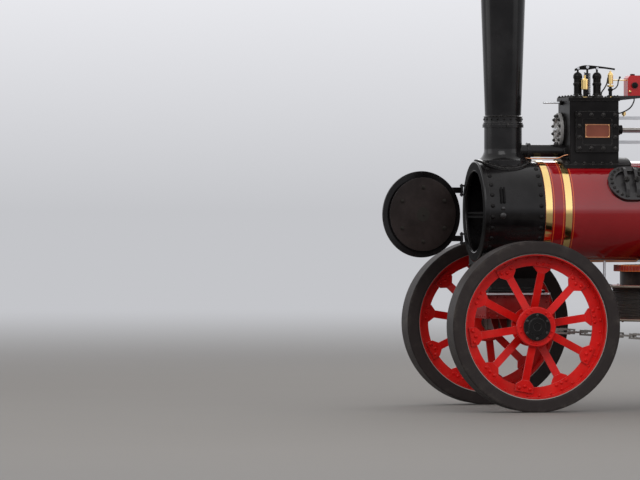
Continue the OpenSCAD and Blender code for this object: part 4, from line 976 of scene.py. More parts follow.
@dataclass
class Smokebox:
    """Smokebox, its door and the chimney on it."""

    rows: Pair = (0.24, -0.188)
    count: int = 28
    chimney_x: float = 0.05
    saddle_r: float = 0.245
    door_z: float = 1.675
    door_face_x: float = 0.313
    door_open: float = 76.0
    hinge: Pair = (0.326, -0.395)
    ring_x: float = 0.3108
    ring_r: float = 0.358
    rivet_r: float = 0.0195
    saddle_ring: float = 0.228
    saddle_front: float = 0.255
    joint: Pair = (0.166, 2.496)
    saddle_top_r: float = 0.45
    saddle_edge_r: float = 0.444
    flue_foot: Pair = (0.157, 2.528)
    flue_head: Pair = (0.192, 3.54)
    bracket: Pair = (1.77, 1.895)
    door_sphere_r: float = 1.2595

    def build(self) -> None:
        """Dresses the front end and adds its rivets and fittings."""
        dress(PAINT.hot_black, "smokebox", "chimney_base", "chimney_barrel", "smokebox_door")
        dress(PAINT.flue, "tube_plate", "door_crossbar")
        self.ring_face()
        self.shell_rivets()
        self.chimney_bolts()
        self.lamp_bracket()
        self.door_fittings()

    def ring_face(self) -> None:
        """The sooty flat of the front ring, between its two rounded edges."""
        pen = Pen()
        outer, back = SMOKEBOX_R - 0.005, self.ring_x - 0.001
        section = [(self.ring_r, back), (outer, back), (outer, self.ring_x), (self.ring_r, self.ring_x)]
        pen.hoop(at(0, 0, BOILER_Z), X, section, 96)
        pen.piece("smokebox_ring_face", PAINT.flue, Slot.SOOT)

    def shell_rivets(self) -> None:
        """Two rows of rivets round the shell, clear of the saddle and the perch bracket."""
        pen = Pen()
        for x in self.rows:
            for a in angles(self.count):
                out = Vector((0, math.sin(a), math.cos(a)))
                foot = at(x, 0, BOILER_Z) + out * SMOKEBOX_R
                under_saddle = math.hypot(x - self.chimney_x, foot.y) < self.saddle_r + 0.02 and out.z > 0
                if not under_saddle and out.z >= -0.72:
                    pen.rivet(foot, out, self.rivet_r)
        pen.piece("smokebox_rivets", PAINT.black, Slot.BLACK)

    def chimney_bolts(self) -> None:
        """Rivets of the saddle, of the chimney's joint and its seam, and the saddle's edge bead."""
        pen = Pen()
        for a in angles(14):
            x, y = swing(self.saddle_ring, a)
            if self.chimney_x + x <= self.saddle_front:
                pen.rivet(*on_shell(self.chimney_x + x, y, self.saddle_top_r), self.rivet_r)
        for a in angles(18, 0):
            out = Vector((math.cos(a), math.sin(a), 0))
            pen.rivet(at(self.chimney_x, 0, self.joint[1]) + out * self.joint[0], out, 0.0105)
        for side in (-1, 1):
            pen.nut(at(self.chimney_x, side * 0.188, 2.446), Z, 0.011)
        (foot_r, foot_z), (head_r, head_z) = self.flue_foot, self.flue_head
        for z in spread(2.56, 3.5, 22):
            radius = foot_r + (z - foot_z) / (head_z - foot_z) * (head_r - foot_r)
            pen.rivet(at(self.chimney_x - radius, 0, z), -X, 0.007)
        edge = []
        for a in (*angles(96, 0), TAU):
            x, y = swing(self.saddle_r, a)
            z = BOILER_Z + math.sqrt(self.saddle_edge_r ** 2 - y * y)
            edge.append(at(min(self.chimney_x + x, 0.296), y, z))
        pen.tube(edge, 0.006)
        pen.piece("chimney_fasteners", PAINT.black, Slot.BLACK)

    def lamp_bracket(self) -> None:
        """The upright bracket for a lamp on the left of the smokebox, with the boss below it."""
        pen, boss = Pen(), Pen()
        shell = SMOKEBOX_R + 0.002
        low, high = self.bracket
        foot, head = [math.sqrt(shell ** 2 - (z - BOILER_Z) ** 2) + 0.002 for z in self.bracket]
        for x in (0.129, 0.155):
            corners = ((x, foot, low), (x + 0.016, foot, low), (x + 0.016, head, high), (x, head, high))
            pen.slab([at(*corner) for corner in corners], Vector((0, 0.02, 0.004)))
        knob = [(0.006, 0), (0.008, 0.006), (0.007, 0.016), (0.003, 0.02)]
        for x in (0.137, 0.163):
            pen.turned(at(x, head + 0.01, high - 0.004), Z, knob)
        pen.piece("lamp_bracket", PAINT.flue, Slot.BLACK, bevel=0.002)
        for z, radius in ((1.664, 0.026), (1.726, 0.015)):
            out = Vector((0, math.sqrt(shell ** 2 - (z - BOILER_Z) ** 2), z - BOILER_Z)).normalized()
            dome = [(radius, 0, 0.014), (radius - 0.004, 0.018), (0.008, 0.02)]
            boss.turned(at(0.15, 0, BOILER_Z) + out * (shell - 0.006), out, dome, 20)
        boss.piece("lamp_bracket_boss", PAINT.casting, Slot.BLACK)

    def on_door(self, radius: float, angle: float, depth: float) -> Vector:
        """A place on the open door.

        Args:
            radius: distance from the door's middle.
            angle: direction about its axis, 0 towards the engine's left when shut.
            depth: distance in front of its inner face when shut.

        Returns:
            The place with the door as it stands open.
        """
        y, z = swing(radius, angle)
        shut = Vector((self.door_face_x + depth, y, self.door_z + z))
        turn = -math.radians(self.door_open)
        dx, dy = shut.x - self.hinge[0], shut.y - self.hinge[1]
        x = self.hinge[0] + dx * math.cos(turn) - dy * math.sin(turn)
        y = self.hinge[1] + dx * math.sin(turn) + dy * math.cos(turn)
        return at(x, y, shut.z)

    def door_fittings(self) -> None:
        """Liner with its bolts and the spindle on the inside, rivets of straps and rim outside."""
        liner, bolts, studs = Pen(), Pen(), Pen()
        face = -0.028
        inward = (self.on_door(0, 0, -1) - self.on_door(0, 0, 0)).normalized()
        plate = [(0.3185, -0.003, 0.002), (0.314, 0.004)]
        liner.turned(self.on_door(0, 0, -0.024), inward, plate, 72)
        liner.piece("door_liner", PAINT.liner, Slot.SOOT, Body.DOOR)
        for a in angles(6):
            bolts.nut(self.on_door(0.235, a, face), inward, 0.016)
        bolts.turned(self.on_door(0, 0, face), inward, [(0.062, 0, 0.0018)], 24)
        spindle = [(0.0045, 0, 0.024), (0.003, 0.026)]
        bolts.turned(self.on_door(0.005, -math.pi / 2, face), inward, spindle)
        bolts.piece("liner_bolts", PAINT.soot, Slot.SOOT, Body.DOOR)
        for height in (-0.21, 0.21):
            for y in (-0.3, -0.2, -0.08, 0.06, 0.2):
                dome = self.door_sphere_r
                sag = dome - math.sqrt(dome ** 2 - y * y - height * height)
                depth = 0.014 + max(0.0, 0.044 - sag) + 0.012
                studs.rivet(self.on_door(math.hypot(y, height), math.atan2(height, y), depth), -inward, 0.011)
        studs.rivets([self.on_door(0.352, a, 0.014) for a in angles(20, 0)], -inward, 0.008)
        studs.piece("door_rivets", PAINT.hot_black, Slot.BLACK, Body.DOOR)


@dataclass
class Cylinder:
    """Cylinder block with its covers, valves, whistle and lubricator."""

    front: float = -0.493
    back: float = -0.929
    half: float = 0.22
    top: float = 2.685
    cover_face: float = 0.246
    cover: tuple[Pair, Pair] = ((-0.888, 2.244), (-0.569, 2.533))
    flange_r: float = 0.469
    bolt_ring: float = 0.124
    plate_y: float = 0.239
    plate: tuple[Pair, Pair] = ((-0.839, 2.337), (-0.621, 2.453))

    def build(self) -> None:
        """Dresses the cylinder and adds its studs, plate, spring and pipes."""
        dress(PAINT.black, "cylinder_block", "valve_chest_cover", "safety_valves")
        dress(PAINT.hot_black, "exhaust_pipe")
        dress(PAINT.rough_casting, "cylinder_cover")
        dress(PAINT.brass, "safety_valve_casing", "whistle")
        dress(PAINT.lid_red, "lubricator")
        self.studs()
        self.blank_plate()
        self.spring()
        self.lubricator_trim()
        self.pipes()
        self.cocks()

    def studs(self) -> None:
        """Studs of every cover and of the foot."""
        pen, bright = Pen(), Pen()
        for x, z in frame_points(*self.cover, 4, 4):
            pen.nut(at(x, self.cover_face, z), Y, 0.0165)
        low, high = (self.back + 0.012, -self.half + 0.01), (self.front - 0.012, self.half - 0.01)
        for x, y in frame_points(low, high, 6, 5):
            pen.nut(at(x, y, self.top), Z, 0.016)
        for x in spread(-1.012, -0.46, 8):
            for side in (-1, 1):
                if side < 0 or x >= -0.93:
                    pen.nut(*on_shell(x, side * 0.222, self.flange_r), 0.015)
        pen.turned(at(-0.494, -0.06, 2.644), X, [(0.021, 0, 0.02), (0.014, 0.027)], 18)
        for a in angles(12):
            y, z = swing(self.bolt_ring, a)
            pen.nut(at(-0.449, BORE_Y + y, CRANK_Z + z), X, 0.0145)
        pen.piece("cylinder_studs", PAINT.black, Slot.BLACK)
        bright.turned(at(-0.441, BORE_Y, CRANK_Z), X, [(0.02, 0, 0.02), (0.012, 0.024)], 6)
        bright.turned(at(-0.49, -0.06, 2.644), X, [(0.009, 0, 0.165), (0.005, 0.17)])
        bright.piece("cylinder_bright_work", PAINT.steel, Slot.STEEL)

    def blank_plate(self) -> None:
        """The blank plate on the side cover, a dark red field in a plain border."""
        (x0, z0), (x1, z1) = self.plate
        y, bar, field_y, rim_y = self.plate_y, 0.008, 0.245, 0.2475
        pen, rim, screws = Pen(), Pen(), Pen()
        pen.block(at(x0 + 0.004, y, z0 + 0.004), at(x1 - 0.004, field_y, z1 - 0.004))
        pen.piece("blank_plate", PAINT.field, Slot.BRASS)
        for z in (z0, z1 - bar):
            rim.block(at(x0, y, z), at(x1, rim_y, z + bar))
        for x in (x0, -0.629):
            rim.block(at(x, y, z0 + bar), at(x + bar, rim_y, z1 - bar))
        rim.piece("blank_plate_border", PAINT.copper, Slot.BRASS)
        for x, z in frame_points((x0 + 0.01, z0 + 0.01), (x1 - 0.01, z1 - 0.01), 2, 2):
            screws.rivet(at(x, field_y, z), Y, 0.005)
        screws.piece("blank_plate_screws", PAINT.brass, Slot.BRASS)

    def spring(self) -> None:
        """The coil spring of the safety valves and the pins of their lever."""
        pen, pins = Pen(), Pen()
        middle, foot, height, wire = -0.701, 2.712, 0.19, 0.0058
        turns, steps = 11, 16
        path = []
        for i in range(turns * steps + 1):
            x, y = swing(0.025, TAU * i / steps)
            path.append(at(middle + x, y, foot + height * i / (turns * steps)))
        pen.tube(path, wire, 6)
        pen.piece("valve_spring", PAINT.iron, Slot.IRON)
        for x in (-0.616, -0.787):
            pins.turned(at(x, -0.018, 2.943), Y, [(0.012, 0, 0.036)], 14)
            for a in angles(6):
                dx, y = swing(0.048, a)
                pins.nut(at(x + dx, y, 2.702), Z, 0.006, False)
        pins.turned(at(middle, -0.014, 2.953), Y, [(0.014, 0, 0.028)], 14)
        pins.piece("valve_lever_pins", PAINT.steel, Slot.STEEL)

    def lubricator_trim(self) -> None:
        """Black cap and knob of the lubricator, drawn over their solids."""
        pen, rods = Pen(), Pen()
        pen.turned(at(-1.103, 0.079, 2.795), Y, [(0.0265, 0, 0.02), (0.02, 0.022)], 28)
        pen.turned(at(-1.103, 0.01, 2.88), Z, [(0.0208, 0, 0.012), (0.014, 0.0155)], 24)
        pen.piece("lubricator_cap", PAINT.black, Slot.BLACK)
        rods.tube([at(-1.045, 0.04, 2.838), at(-0.905, 0.06, 2.838)], 0.0045)
        rods.turned(at(-1.06, 0.0795, 2.74), Y, [(0.011, 0, 0.012), (0.006, 0.016)])
        rods.piece("lubricator_rods", PAINT.brass, Slot.BRASS)

    def pipes(self) -> None:
        """The copper pipe under the exhaust, the whistle's black pipe, body and lever, and the oil pipe."""
        copper, black = Pen(), Pen()
        runs = (
            (copper, 0.0055, ((-0.52, 0.135, 2.19), (-0.47, 0.13, 2.185), (-0.4, 0.1, 2.158),
                              (-0.28, 0.1, 2.156), (-0.17, 0.08, 2.158), (-0.13, 0.05, 2.166))),
            (black, 0.0062, ((-0.805, 0.08, 2.684), (-0.808, 0.08, 2.73), (-0.832, 0.08, 2.765),
                             (-0.857, 0.075, 2.81), (-0.868, 0.068, 2.855), (-0.886, 0.06, 2.874))),
            (black, 0.0055, ((-0.905, 0.06, 2.757), (-0.932, 0.064, 2.766), (-0.955, 0.066, 2.795),
                             (-0.962, 0.066, 2.832), (-0.975, 0.066, 2.86))),
            (black, 0.006, ((-1.1, 0.055, 2.7), (-1.1, 0.075, 2.66), (-1.06, 0.1, 2.6),
                            (-0.99, 0.11, 2.56), (-0.925, 0.12, 2.545))),
        )
        for pen, radius, bends in runs:
            pen.tube(smooth([at(*bend) for bend in bends]), radius)
        whistle = ((0.0308, 0, 0.006), (0.0152, 0.009, 0.045), (0.0212, 0.051),
                   (0.0212, 0.068), (0.0125, 0.074, 0.079))
        black.turned(at(-0.892, 0.06, 2.6965), Z, whistle, 20)
        knob = [(0.005, 0), (0.0095, 0.005, 0.012), (0.004, 0.018)]
        black.turned(at(-0.975, 0.066, 2.854), Z, knob)
        foot = [(0.0268, 0, 0.003), (0.0145, 0.007, 0.06)]
        black.turned(at(-0.66, 0.072, 2.6935), Z, foot, 20)
        copper.piece("copper_pipe", PAINT.copper, Slot.BRASS)
        black.piece("whistle_and_oil_pipes", PAINT.black, Slot.BLACK)

    def cocks(self) -> None:
        """Brass drain cocks low on the block with a rod that works them."""
        brass = Pen()
        cock = ((0.015, -0.002, 0.008), (0.009, 0.01, 0.032), (0.014, 0.034), (0.014, 0.052), (0.006, 0.054))
        for x in (-0.535, -0.885):
            foot = at(x, -self.half, 2.165)
            brass.turned(foot, -Y, cock, 14)
            brass.turned(foot + Vector((0, -0.043, 0.012)), -Z, [(0.008, 0, 0.05)])
        brass.tube([at(-0.535, -0.262, 2.18), at(-0.885, -0.262, 2.18)], 0.004)
        brass.piece("drain_cocks", PAINT.brass, Slot.BRASS)


@dataclass
class Motion:
    """Slide bars, rods, valve gear, crankshaft and flywheel."""

    saddle_r: float = 0.458
    flywheel_y: float = 0.64
    flywheel_face: float = 0.7185
    throw: float = 0.058

    def build(self) -> None:
        """Dresses the motion and adds its oilers, nuts and the flywheel's cap."""
        dress(PAINT.steel, "slide_bars", "connecting_rod", "crankshaft")
        dress(PAINT.oily_steel, "valve_gear")
        dress(PAINT.flywheel, "flywheel")
        brass, nuts, fly, cranks = Pen(), Pen(), Pen(), Pen()
        cup = ((0.008, -0.001, 0.008), (0.018, 0.012, 0.038), (0.008, 0.044))
        for x in (-1.3, -1.62, -1.05):
            brass.turned(at(x, BORE_Y, 2.527), Z, cup, 16)
        brass.piece("motion_oilers", PAINT.brass, Slot.BRASS)
        for z in (-0.137, 0.137):
            for y in (-0.1, -0.06):
                nuts.nut(at(-1.7, y, CRANK_Z + z), -X, 0.014)
        for x in (-1.73, -1.64):
            for y in (-0.185, 0.025):
                nuts.nut(*on_shell(x, y, self.saddle_r), 0.013)
        nuts.piece("motion_nuts", PAINT.steel, Slot.STEEL)
        for side in (-1, 1):
            for a in angles(6):
                x, z = swing(0.09, a)
                fly.nut(at(CRANK_X + x, self.flywheel_y + side * 0.078, CRANK_Z + z), side * Y, 0.012)
        cap = [(0.052, 0, 0.03), (0.046, 0.034)]
        fly.turned(at(CRANK_X, self.flywheel_face, CRANK_Z), Y, cap, 28)
        fly.piece("flywheel_nuts", PAINT.steel, Slot.STEEL, Body.CRANK)
        for y in (BORE_Y - 0.02, BORE_Y + 0.02):
            for z in (-0.05, 0.05):
                cranks.nut(at(CRANK_X + 0.206, y, CRANK_Z + z), X, 0.011)
        for y, angle in ((0.085, 100), (0.152, -100)):
            x, z = swing(self.throw, math.radians(angle))
            for s in (-0.1, 0.1):
                foot = at(CRANK_X + x, y, CRANK_Z + z) + Vector((s, 0, -0.03))
                cranks.turned(foot, Z, [(0.012, 0, 0.06)], 10)
        cranks.piece("crank_nuts", PAINT.steel, Slot.STEEL, Body.CRANK)


@dataclass
class RopeGear:
    """Winding drum, rope, its drive and its guide."""

    rivet_ring: float = 0.585
    guide_y: float = 0.72
    drain_x: float = -0.818
    drain_y: float = 0.14

    def build(self) -> None:
        """Dresses the rope gear and adds its rivets and nuts, and the barrel's drain rod and pipe."""
        dress(PAINT.drum, "winding_drum")
        dress(PAINT.rope, "rope_coil")
        dress(PAINT.low_black, "drum_bracket", "plough_drive", "rope_guide")
        bolts, nuts, rod, pipe = Pen(), Pen(), Pen(), Pen()
        for a in angles(16, 0):
            x, y = swing(self.rivet_ring, a)
            bolts.rivet(at(DRUM_X + x, y, 1.06), Z, 0.012)
            bolts.rivet(at(DRUM_X + x, y, 0.75), -Z, 0.012)
        bolts.piece("drum_rivets", PAINT.drum, Slot.DRUM, Body.DRUM)
        for x in (-0.11, 0.11):
            nuts.nut(at(DRUM_X + x, self.guide_y, 1.13), Z, 0.02)
            nuts.nut(at(DRUM_X + x, self.guide_y, 0.7), -Z, 0.02)
        for x in (-0.046, 0.046):
            nuts.nut(at(DRUM_X + x, self.guide_y, 1.13), Z, 0.016)
        nuts.piece("guide_nuts", PAINT.iron, Slot.IRON)
        foot, top = [at(self.drain_x, self.drain_y, z) for z in (1.03, 1.274)]
        rod.tube([foot, top], 0.011, 12)
        sleeve = [(0.015, -0.03, 0.0), (0.009, 0.02)]
        rod.turned(at(self.drain_x, self.drain_y, 1.05), -Z, sleeve, 16)
        rod.piece("barrel_drain", PAINT.steel, Slot.STEEL)
        bends = ((-0.5, 1.335), (-0.5, 1.288), (-0.52, 1.27), (-1.1, 1.27), (-1.12, 1.288),
                 (-1.12, 1.335))
        pipe.tube([at(x, self.drain_y, z) for x, z in bends], 0.009, 10)
        pipe.piece("barrel_drain_pipe", PAINT.copper, Slot.BRASS)


@dataclass
class FrontCarriage:
    """Perch, turntable, box and front axle."""

    rivet_r: float = 0.0105
    box_half: Pair = (0.28, 0.34)
    box_rows: Pair = (0.8, 0.964)
    plate_half: Pair = (0.25, 0.33)
    corner_r: float = 0.0415
    plate_z: float = 0.985

    def build(self) -> None:
        """Dresses the front carriage and adds its rivets, nuts, bright edge and axle straps."""
        dress(PAINT.black, "perch_bracket")
        dress(PAINT.maroon, "forecarriage")
        dress(PAINT.low_black, "front_axle")
        rivets, edge, nuts, straps = Pen(), Pen(), Pen(), Pen()
        half_x, half_y = self.box_half
        for side in (-1, 1):
            flank = [at(x, side * half_y, z) for x in spread(-0.255, 0.255, 8) for z in self.box_rows]
            flank += [at(x, side * half_y, z) for z in (0.84, 0.925) for x in (-0.255, 0.255)]
            ends = [at(side * half_x, y, z) for y in spread(-0.3, 0.3, 8) for z in self.box_rows]
            rivets.rivets(flank, side * Y, self.rivet_r)
            rivets.rivets(ends, side * X, self.rivet_r)
        rivets.piece("carriage_rivets", PAINT.maroon, Slot.BOILER, Body.CARRIAGE)
        outline = []
        for i, (sx, sy) in enumerate(((1, 1), (-1, 1), (-1, -1), (1, -1))):
            for degrees in (0, 30, 60, 90):
                x, y = swing(self.corner_r, math.radians(90 * i + degrees))
                outline.append(at(sx * self.plate_half[0] + x, sy * self.plate_half[1] + y, self.plate_z))
        edge.slab(outline, Z * 0.014)
        edge.piece("turntable_plate", PAINT.steel, Slot.STEEL, Body.CARRIAGE, 0.001)
        for x in (-0.215, 0.215):
            for y in (-0.215, -0.07, 0.07, 0.215):
                nuts.nut(at(x, y, 1.028), Z, 0.017)
        for side in (-1, 1):
            for y in (-0.2, 0.0, 0.2):
                nuts.nut(at(side * 0.29, y, 1.235), side * X, 0.015)
            for y in (0.565, 0.625):
                straps.block(at(-0.062, side * y - 0.022, 0.663), at(0.062, side * y + 0.022, 0.787))
        nuts.piece("perch_nuts", PAINT.black, Slot.BLACK)
        straps.piece("axle_straps", PAINT.low_black, Slot.BLACK, Body.CARRIAGE, 0.003)


@dataclass(frozen=True)
class Axle:
    """What the two wheels of one axle share."""

    centre: Vector
    paint: Finish
    rubber: Finish
    cap_ring: float
    cap_face: float
    cap_nut: float
    hub_r: float
    hub_face: float
    hub_ring: float
    hub_shift: float
    hub_rivet: float
    rim_ring: float
    rim_rivet: float
    feet: tuple[Pair, ...]


FRONT = Axle(
    AXLE, PAINT.wheel, PAINT.front_rubber, cap_ring=0.099, cap_face=0.139, cap_nut=0.01,
    hub_r=0.11, hub_face=0.1125, hub_ring=0.14, hub_shift=9, hub_rivet=0.011,
    rim_ring=0.586, rim_rivet=0.0125, feet=((0.532, -5.2), (0.512, 0.0), (0.532, 5.2)),
)
BACK = Axle(
    HIND, PAINT.hind_wheel, PAINT.hind_rubber, cap_ring=0.128, cap_face=0.237, cap_nut=0.014,
    hub_r=0.148, hub_face=0.225, hub_ring=0.192, hub_shift=5.5, hub_rivet=0.015,
    rim_ring=0.842, rim_rivet=0.01, feet=((0.795, -4.6), (0.77, -1.6), (0.77, 1.6), (0.795, 4.6)),
)


class Corner(Enum):
    """The four wheels: body, name, side and axle."""

    FRONT_LEFT = (Body.FRONT_LEFT, "front_left", 1, FRONT)
    FRONT_RIGHT = (Body.FRONT_RIGHT, "front_right", -1, FRONT)
    HIND_LEFT = (Body.HIND_LEFT, "hind_left", 1, BACK)
    HIND_RIGHT = (Body.HIND_RIGHT, "hind_right", -1, BACK)


@dataclass
class Wheel:
    """One wheel with its tyre and cap."""

    corner: Corner
    web_face: float = 0.008
    foot_face: float = 0.025
    foot_rivet: float = 0.0165
    back_ring: float = 0.536
    back_rivet: float = 0.015
    ring_out: float = 0.105
    ring_half: float = 0.009
    spoke_face: float = 0.03
    spoke_rivet: float = 0.014

    def spot(self, radius: float, angle: float, out: float) -> Vector:
        """A place on the wheel.

        Args:
            radius: distance from its axle.
            angle: direction in degrees.
            out: distance outward from its middle plane.

        Returns:
            The place.
        """
        _, _, side, axle = self.corner.value
        middle = Vector((axle.centre.x, side * axle.centre.y, axle.centre.z))
        x, z = swing(radius, math.radians(angle))
        return middle + Vector((x, side * out, -side * z))

    def head(self, pen: Pen, polar: Pair, out: float, facing: int, size: float) -> None:
        """A rivet at a distance and direction from the axle, facing outward (1) or inward (-1)."""
        pen.rivet(self.spot(*polar, out), facing * self.corner.value[2] * Y, size)

    def build(self) -> None:
        """Dresses the wheel and adds its rivets and cap bolts."""
        body, name, side, axle = self.corner.value
        dress(axle.paint, f"{name}_wheel")
        dress(axle.rubber, f"{name}_tyre")
        dress(PAINT.black, f"{name}_cap")
        rivets, bolts, oiler = Pen(), Pen(), Pen()
        if axle is FRONT:
            self.front_rivets(rivets)
        else:
            self.hind_rivets(rivets)
        rivets.piece(f"{name}_rivets", axle.paint, Slot.WHEEL, body)
        for i in range(6):
            bolts.nut(self.spot(axle.cap_ring, 60 * i + 30, axle.cap_face), side * Y, axle.cap_nut)
        bolts.piece(f"{name}_cap_bolts", PAINT.black, Slot.BLACK, body)
        cup = [(0.012, 0, 0.012), (0.018, 0.016, 0.034), (0.008, 0.04)]
        outward = self.spot(1, 300, 0) - self.spot(0, 300, 0)
        oiler.turned(self.spot(axle.hub_r, 300, 0.02), outward, cup, 14)
        oiler.piece(f"{name}_oiler", PAINT.brass, Slot.BRASS, body)

    def hub_rivets(self, pen: Pen, axle: Axle, angle: float, face: int) -> None:
        """The two rivets of a spoke on its hub flange: 1 for the outer flange, -1 for the inner."""
        for shift in (-axle.hub_shift, axle.hub_shift):
            self.head(pen, (axle.hub_ring, angle + shift), face * axle.hub_face, face, axle.hub_rivet)

    def front_rivets(self, pen: Pen) -> None:
        """Rivets of a front wheel: spokes' feet and their backs on the web, hub flanges, rim.

        Args:
            pen: where they are drawn.
        """
        for i in range(10):
            own = 1 if i < 5 else -1
            angle = (9 if own > 0 else 45) + 72 * (i % 5)
            for radius, shift in FRONT.feet:
                for face in (1, -1):
                    if face == own:
                        self.head(pen, (radius, angle + shift), face * self.foot_face, face, self.foot_rivet)
                    else:
                        place = (self.back_ring, angle + shift)
                        self.head(pen, place, face * self.web_face, face, self.back_rivet)
            self.hub_rivets(pen, FRONT, angle, own)
        for i in range(36):
            for face in (1, -1):
                self.head(pen, (FRONT.rim_ring, 10 * i + 5), face * self.web_face, face, FRONT.rim_rivet)

    def hind_rivets(self, pen: Pen) -> None:
        """Rivets of a hind wheel: spokes' feet and their backs on the rings, hub flanges, rims.

        Args:
            pen: where they are drawn.
        """
        for ring in (1, -1):
            out, back = ring * (self.ring_out + self.spoke_face), ring * (self.ring_out - self.ring_half)
            for i in range(8):
                angle = i * 45 if ring > 0 else -22.5 - i * 45
                for radius, shift in BACK.feet:
                    self.head(pen, (radius, angle + shift), out, ring, self.spoke_rivet)
                    self.head(pen, (radius, angle + shift), back, -ring, self.spoke_rivet)
                self.hub_rivets(pen, BACK, angle, ring)
            face = ring * (self.ring_out + self.ring_half)
            for i in range(48):
                self.head(pen, (BACK.rim_ring, 7.5 * i + 3), face, ring, BACK.rim_rivet)


@dataclass
class Rear:
    """Road gear, steering, footplate, tender and controls."""

    back: float = -4.75
    side: float = 0.62
    rivet_r: float = 0.0095
    rivet_rows: tuple[float, ...] = (0.65, 1.08, 1.15, 1.37, 1.745)
    rivet_ends: Pair = (-4.64, -4.08)
    backhead_x: float = -3.05

    def build(self) -> None:
        """Dresses the rear and adds its rivets, gauges and handles."""
        dress(PAINT.low_black, "road_gears", "hind_axle", "steering_gear", "drawbar", "fire_door")
        dress(PAINT.oily_steel, "steering_chains")
        dress(PAINT.tread_plate, "footplate")
        dress(PAINT.maroon, "tender", "bunker_sides", "bunker_back", "bunker_front")
        dress(PAINT.steel, "controls")
        self.tender_rivets()
        self.backhead()
        self.handrails()

    def tender_rivets(self) -> None:
        """Rows of rivets on the tender's plates."""
        pen = Pen()
        for side in (-1, 1):
            y = side * self.side
            places = [at(x, y, z) for z in self.rivet_rows for x in spread(*self.rivet_ends, 9)]
            for x in self.rivet_ends:
                places += [at(x, y, z) for z in spread(0.7, 1.03, 5) + spread(1.2, 1.7, 7)]
            pen.rivets(places, side * Y, self.rivet_r)
        back = [at(self.back, y, z) for z in self.rivet_rows for y in spread(-0.5, 0.5, 13)]
        pen.rivets(back, -X, self.rivet_r)
        pen.piece("tender_rivets", PAINT.maroon, Slot.BOILER)

    def backhead(self) -> None:
        """Gauges, regulator and cocks on the back of the firebox."""
        x = self.backhead_x
        brass, black, white, copper = Pen(), Pen(), Pen(), Pen()
        cock = ((0.026, -0.002, 0.012), (0.014, 0.016, 0.05), (0.02, 0.052), (0.02, 0.078), (0.008, 0.08))
        rim = ((0.085, 0), (0.088, 0.02, 0.036), (0.08, 0.042), (0.078, 0.038))
        gland = ((0.06, -0.002, 0.014), (0.03, 0.02, 0.06), (0.018, 0.064, 0.1))
        for y in (-0.16, 0.16):
            for z in (1.74, 1.98):
                brass.turned(at(x, y, z), -X, cock, 18)
            white.turned(at(x - 0.064, y, 1.755), Z, [(0.007, 0, 0.21)])
            for foot in (1.752, 1.946):
                brass.turned(at(x - 0.064, y, foot), Z, [(0.013, 0, 0.022)])
        gauge = at(x - 0.05, 0.0, 2.215)
        brass.turned(gauge, -X, rim, 40)
        white.turned(gauge, -X, [(0.077, 0.036, 0.0385)], 40)
        for i in range(11):
            mark = Vector((0, *swing(1.0, math.radians(225 - 27 * i))))
            black.tube([gauge - X * 0.0395 + mark * r for r in (0.058, 0.07)], 0.0018, 6)
        needle = Vector((0, *swing(1.0, math.radians(150))))
        black.tube([gauge - X * 0.041 + needle * r for r in (-0.016, 0.055)], 0.0022, 6)
        bends = [gauge - Z * 0.085, gauge - Z * 0.13, at(x - 0.03, 0.03, 2.07), at(x - 0.002, 0.04, 2.05)]
        copper.tube(smooth(bends), 0.006)
        brass.turned(at(x, 0.0, 1.86), -X, gland, 24)
        grip = at(x - 0.09, 0.24, 1.945)
        black.tube([at(x - 0.09, -0.05, 1.845), grip], 0.011, 12)
        handle = [(0.012, -0.02), (0.019, 0.0, 0.05), (0.012, 0.07)]
        black.turned(grip, Vector((0, 0.95, 0.33)), handle, 16)
        brass.piece("backhead_brass", PAINT.brass, Slot.BRASS)
        black.piece("regulator_and_needle", PAINT.black, Slot.BLACK)
        white.piece("gauge_faces", PAINT.glass, Slot.STEEL)
        copper.piece("gauge_pipe", PAINT.copper, Slot.BRASS)

    def handrails(self) -> None:
        """Bright rails beside the entrance."""
        pen = Pen()
        bends = ((0.0, 1.16), (0.022, 1.18), (0.022, 1.3), (0.022, 1.5), (0.022, 1.62), (0.0, 1.64))
        for side in (-1, 1):
            pen.tube(smooth([at(-4.1, side * (self.side + out), z) for out, z in bends]), 0.01)
        pen.piece("handrails", PAINT.steel, Slot.STEEL)


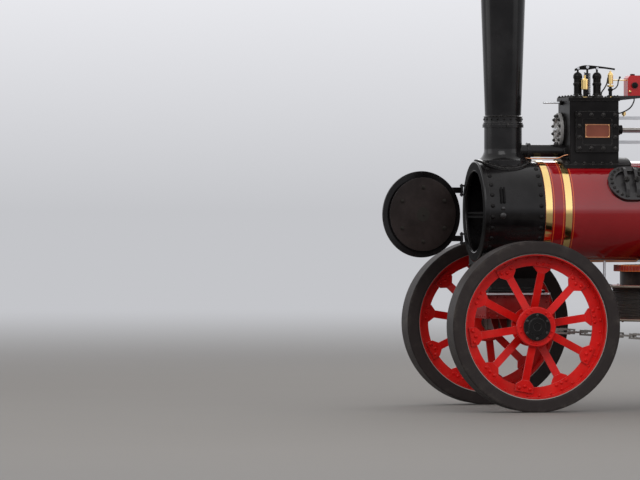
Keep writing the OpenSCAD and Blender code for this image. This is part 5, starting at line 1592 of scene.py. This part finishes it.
@dataclass
class Studio:
    """Floor, lamps and camera."""

    lens: float = 279.0
    yaw: float = 11.3
    pitch: float = 0.335
    stand: tuple[float, float, float] = (10.006, 41.75, 1.704)
    sensor: float = 36.0
    sight: float = 500.0
    floor_half: float = 150.0
    fade: Pair = (6.0, 45.0)
    zenith: Colour = (1.0, 1.0, 1.0)
    sky_stops: tuple[float, float, float] = (0.0, 0.12, 1.0)
    ground: Colour = (0.15, 0.14, 0.128)
    backdrop: Colour = srgb(196, 197, 201)
    sky: Colour = (1.25, 1.25, 1.3)
    lamps: tuple[tuple[str, tuple[float, float, float], float, float], ...] = (
        ("key", (5.5, 9.0, 9.5), 520.0, 7.0),
        ("fill", (-9.0, 7.0, 6.0), 120.0, 7.0),
        ("back", (-3.0, -10.0, 8.0), 260.0, 7.0),
        ("front", (11.0, -2.0, 5.0), 90.0, 5.0),
    )

    def build(self) -> None:
        """Makes the camera first, then the floor and the lamps."""
        bpy.context.scene.view_settings.view_transform = "Standard"
        self.camera()
        self.floor()
        self.lights()
        self.even_sky()

    def camera(self) -> None:
        """The camera of the photograph."""
        data = bpy.data.cameras.new("photo_camera")
        data.lens = self.lens
        data.sensor_width = self.sensor
        data.clip_end = self.sight
        eye = put("photo_camera", data)
        eye.location = at(*self.stand)
        a = math.radians(self.yaw)
        aim(eye, Vector((-math.sin(a), -math.cos(a), -math.tan(math.radians(self.pitch)))))
        bpy.context.scene.camera = eye

    def floor(self) -> None:
        """The pale floor."""
        mesh = bpy.data.meshes.new("floor")
        s = self.floor_half
        mesh.from_pydata([(-s, -s, 0), (s, -s, 0), (s, s, 0), (-s, s, 0)], [], [(0, 1, 2, 3)])
        mesh.materials.append(self.floor_finish())
        item = put("floor", mesh)

    def floor_finish(self) -> bpy.types.Material:
        """Matt and dull near the engine, and of the backdrop's plain tone far from it.

        Returns:
            The floor's material.
        """
        net = Net(bpy.data.materials.new("floor_pale"))
        point = net.place()
        x, y = net.axis(point, "X"), net.axis(point, "Y")
        reach = (x * x + y * y).root()
        tone = net.noise(point, 0.8, 3.0)
        colour = net.blend(tone, tuple(v * 0.96 for v in self.ground), self.ground)
        near = net.node("ShaderNodeBsdfPrincipled", {}, {"Base Color": colour, "Roughness": 0.9})
        far = net.node("ShaderNodeEmission", {}, {"Color": (*self.backdrop, 1), "Strength": 1.0})
        shader = net.node("ShaderNodeMixShader", {}, {0: reach.ease(*self.fade), 1: near, 2: far})
        return net.close(shader)

    def lights(self) -> None:
        """Soft area lamps, aimed at the engine's middle."""
        middle = Vector((0, 0, 1.5))
        for name, place, power, size in self.lamps:
            data = bpy.data.lights.new(name, "AREA")
            data.energy = power
            data.size = size
            lamp = put(name, data)
            lamp.location = place
            aim(lamp, middle - Vector(place))

    def even_sky(self) -> None:
        """A sky of the backdrop's tone at the horizon, brightest a little above it."""
        world = bpy.data.worlds.new("studio")
        bpy.context.scene.world = world
        net = Net(world)
        height = net.axis(net.node("ShaderNodeTexCoord", {}, {}, "Generated"), "Z")
        stops = tuple(zip(self.sky_stops, (self.backdrop, self.sky, self.zenith)))
        shade = net.node("ShaderNodeValToRGB", {"stops": stops}, {0: height})
        net.close(net.node("ShaderNodeBackground", {}, {"Color": shade, "Strength": 1.0}))


def main() -> None:
    """Builds the studio and every sub-assembly in order."""
    logging.basicConfig(level=logging.INFO, format="%(name)s: %(message)s")
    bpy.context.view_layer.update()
    Studio().build()
    parts: list[Any] = [Boiler(), Smokebox(), Cylinder(), Motion(), RopeGear(), FrontCarriage()]
    parts += [Wheel(corner) for corner in Corner]
    parts.append(Rear())
    for part in parts:
        part.build()


if __name__ == "__main__":
    main()
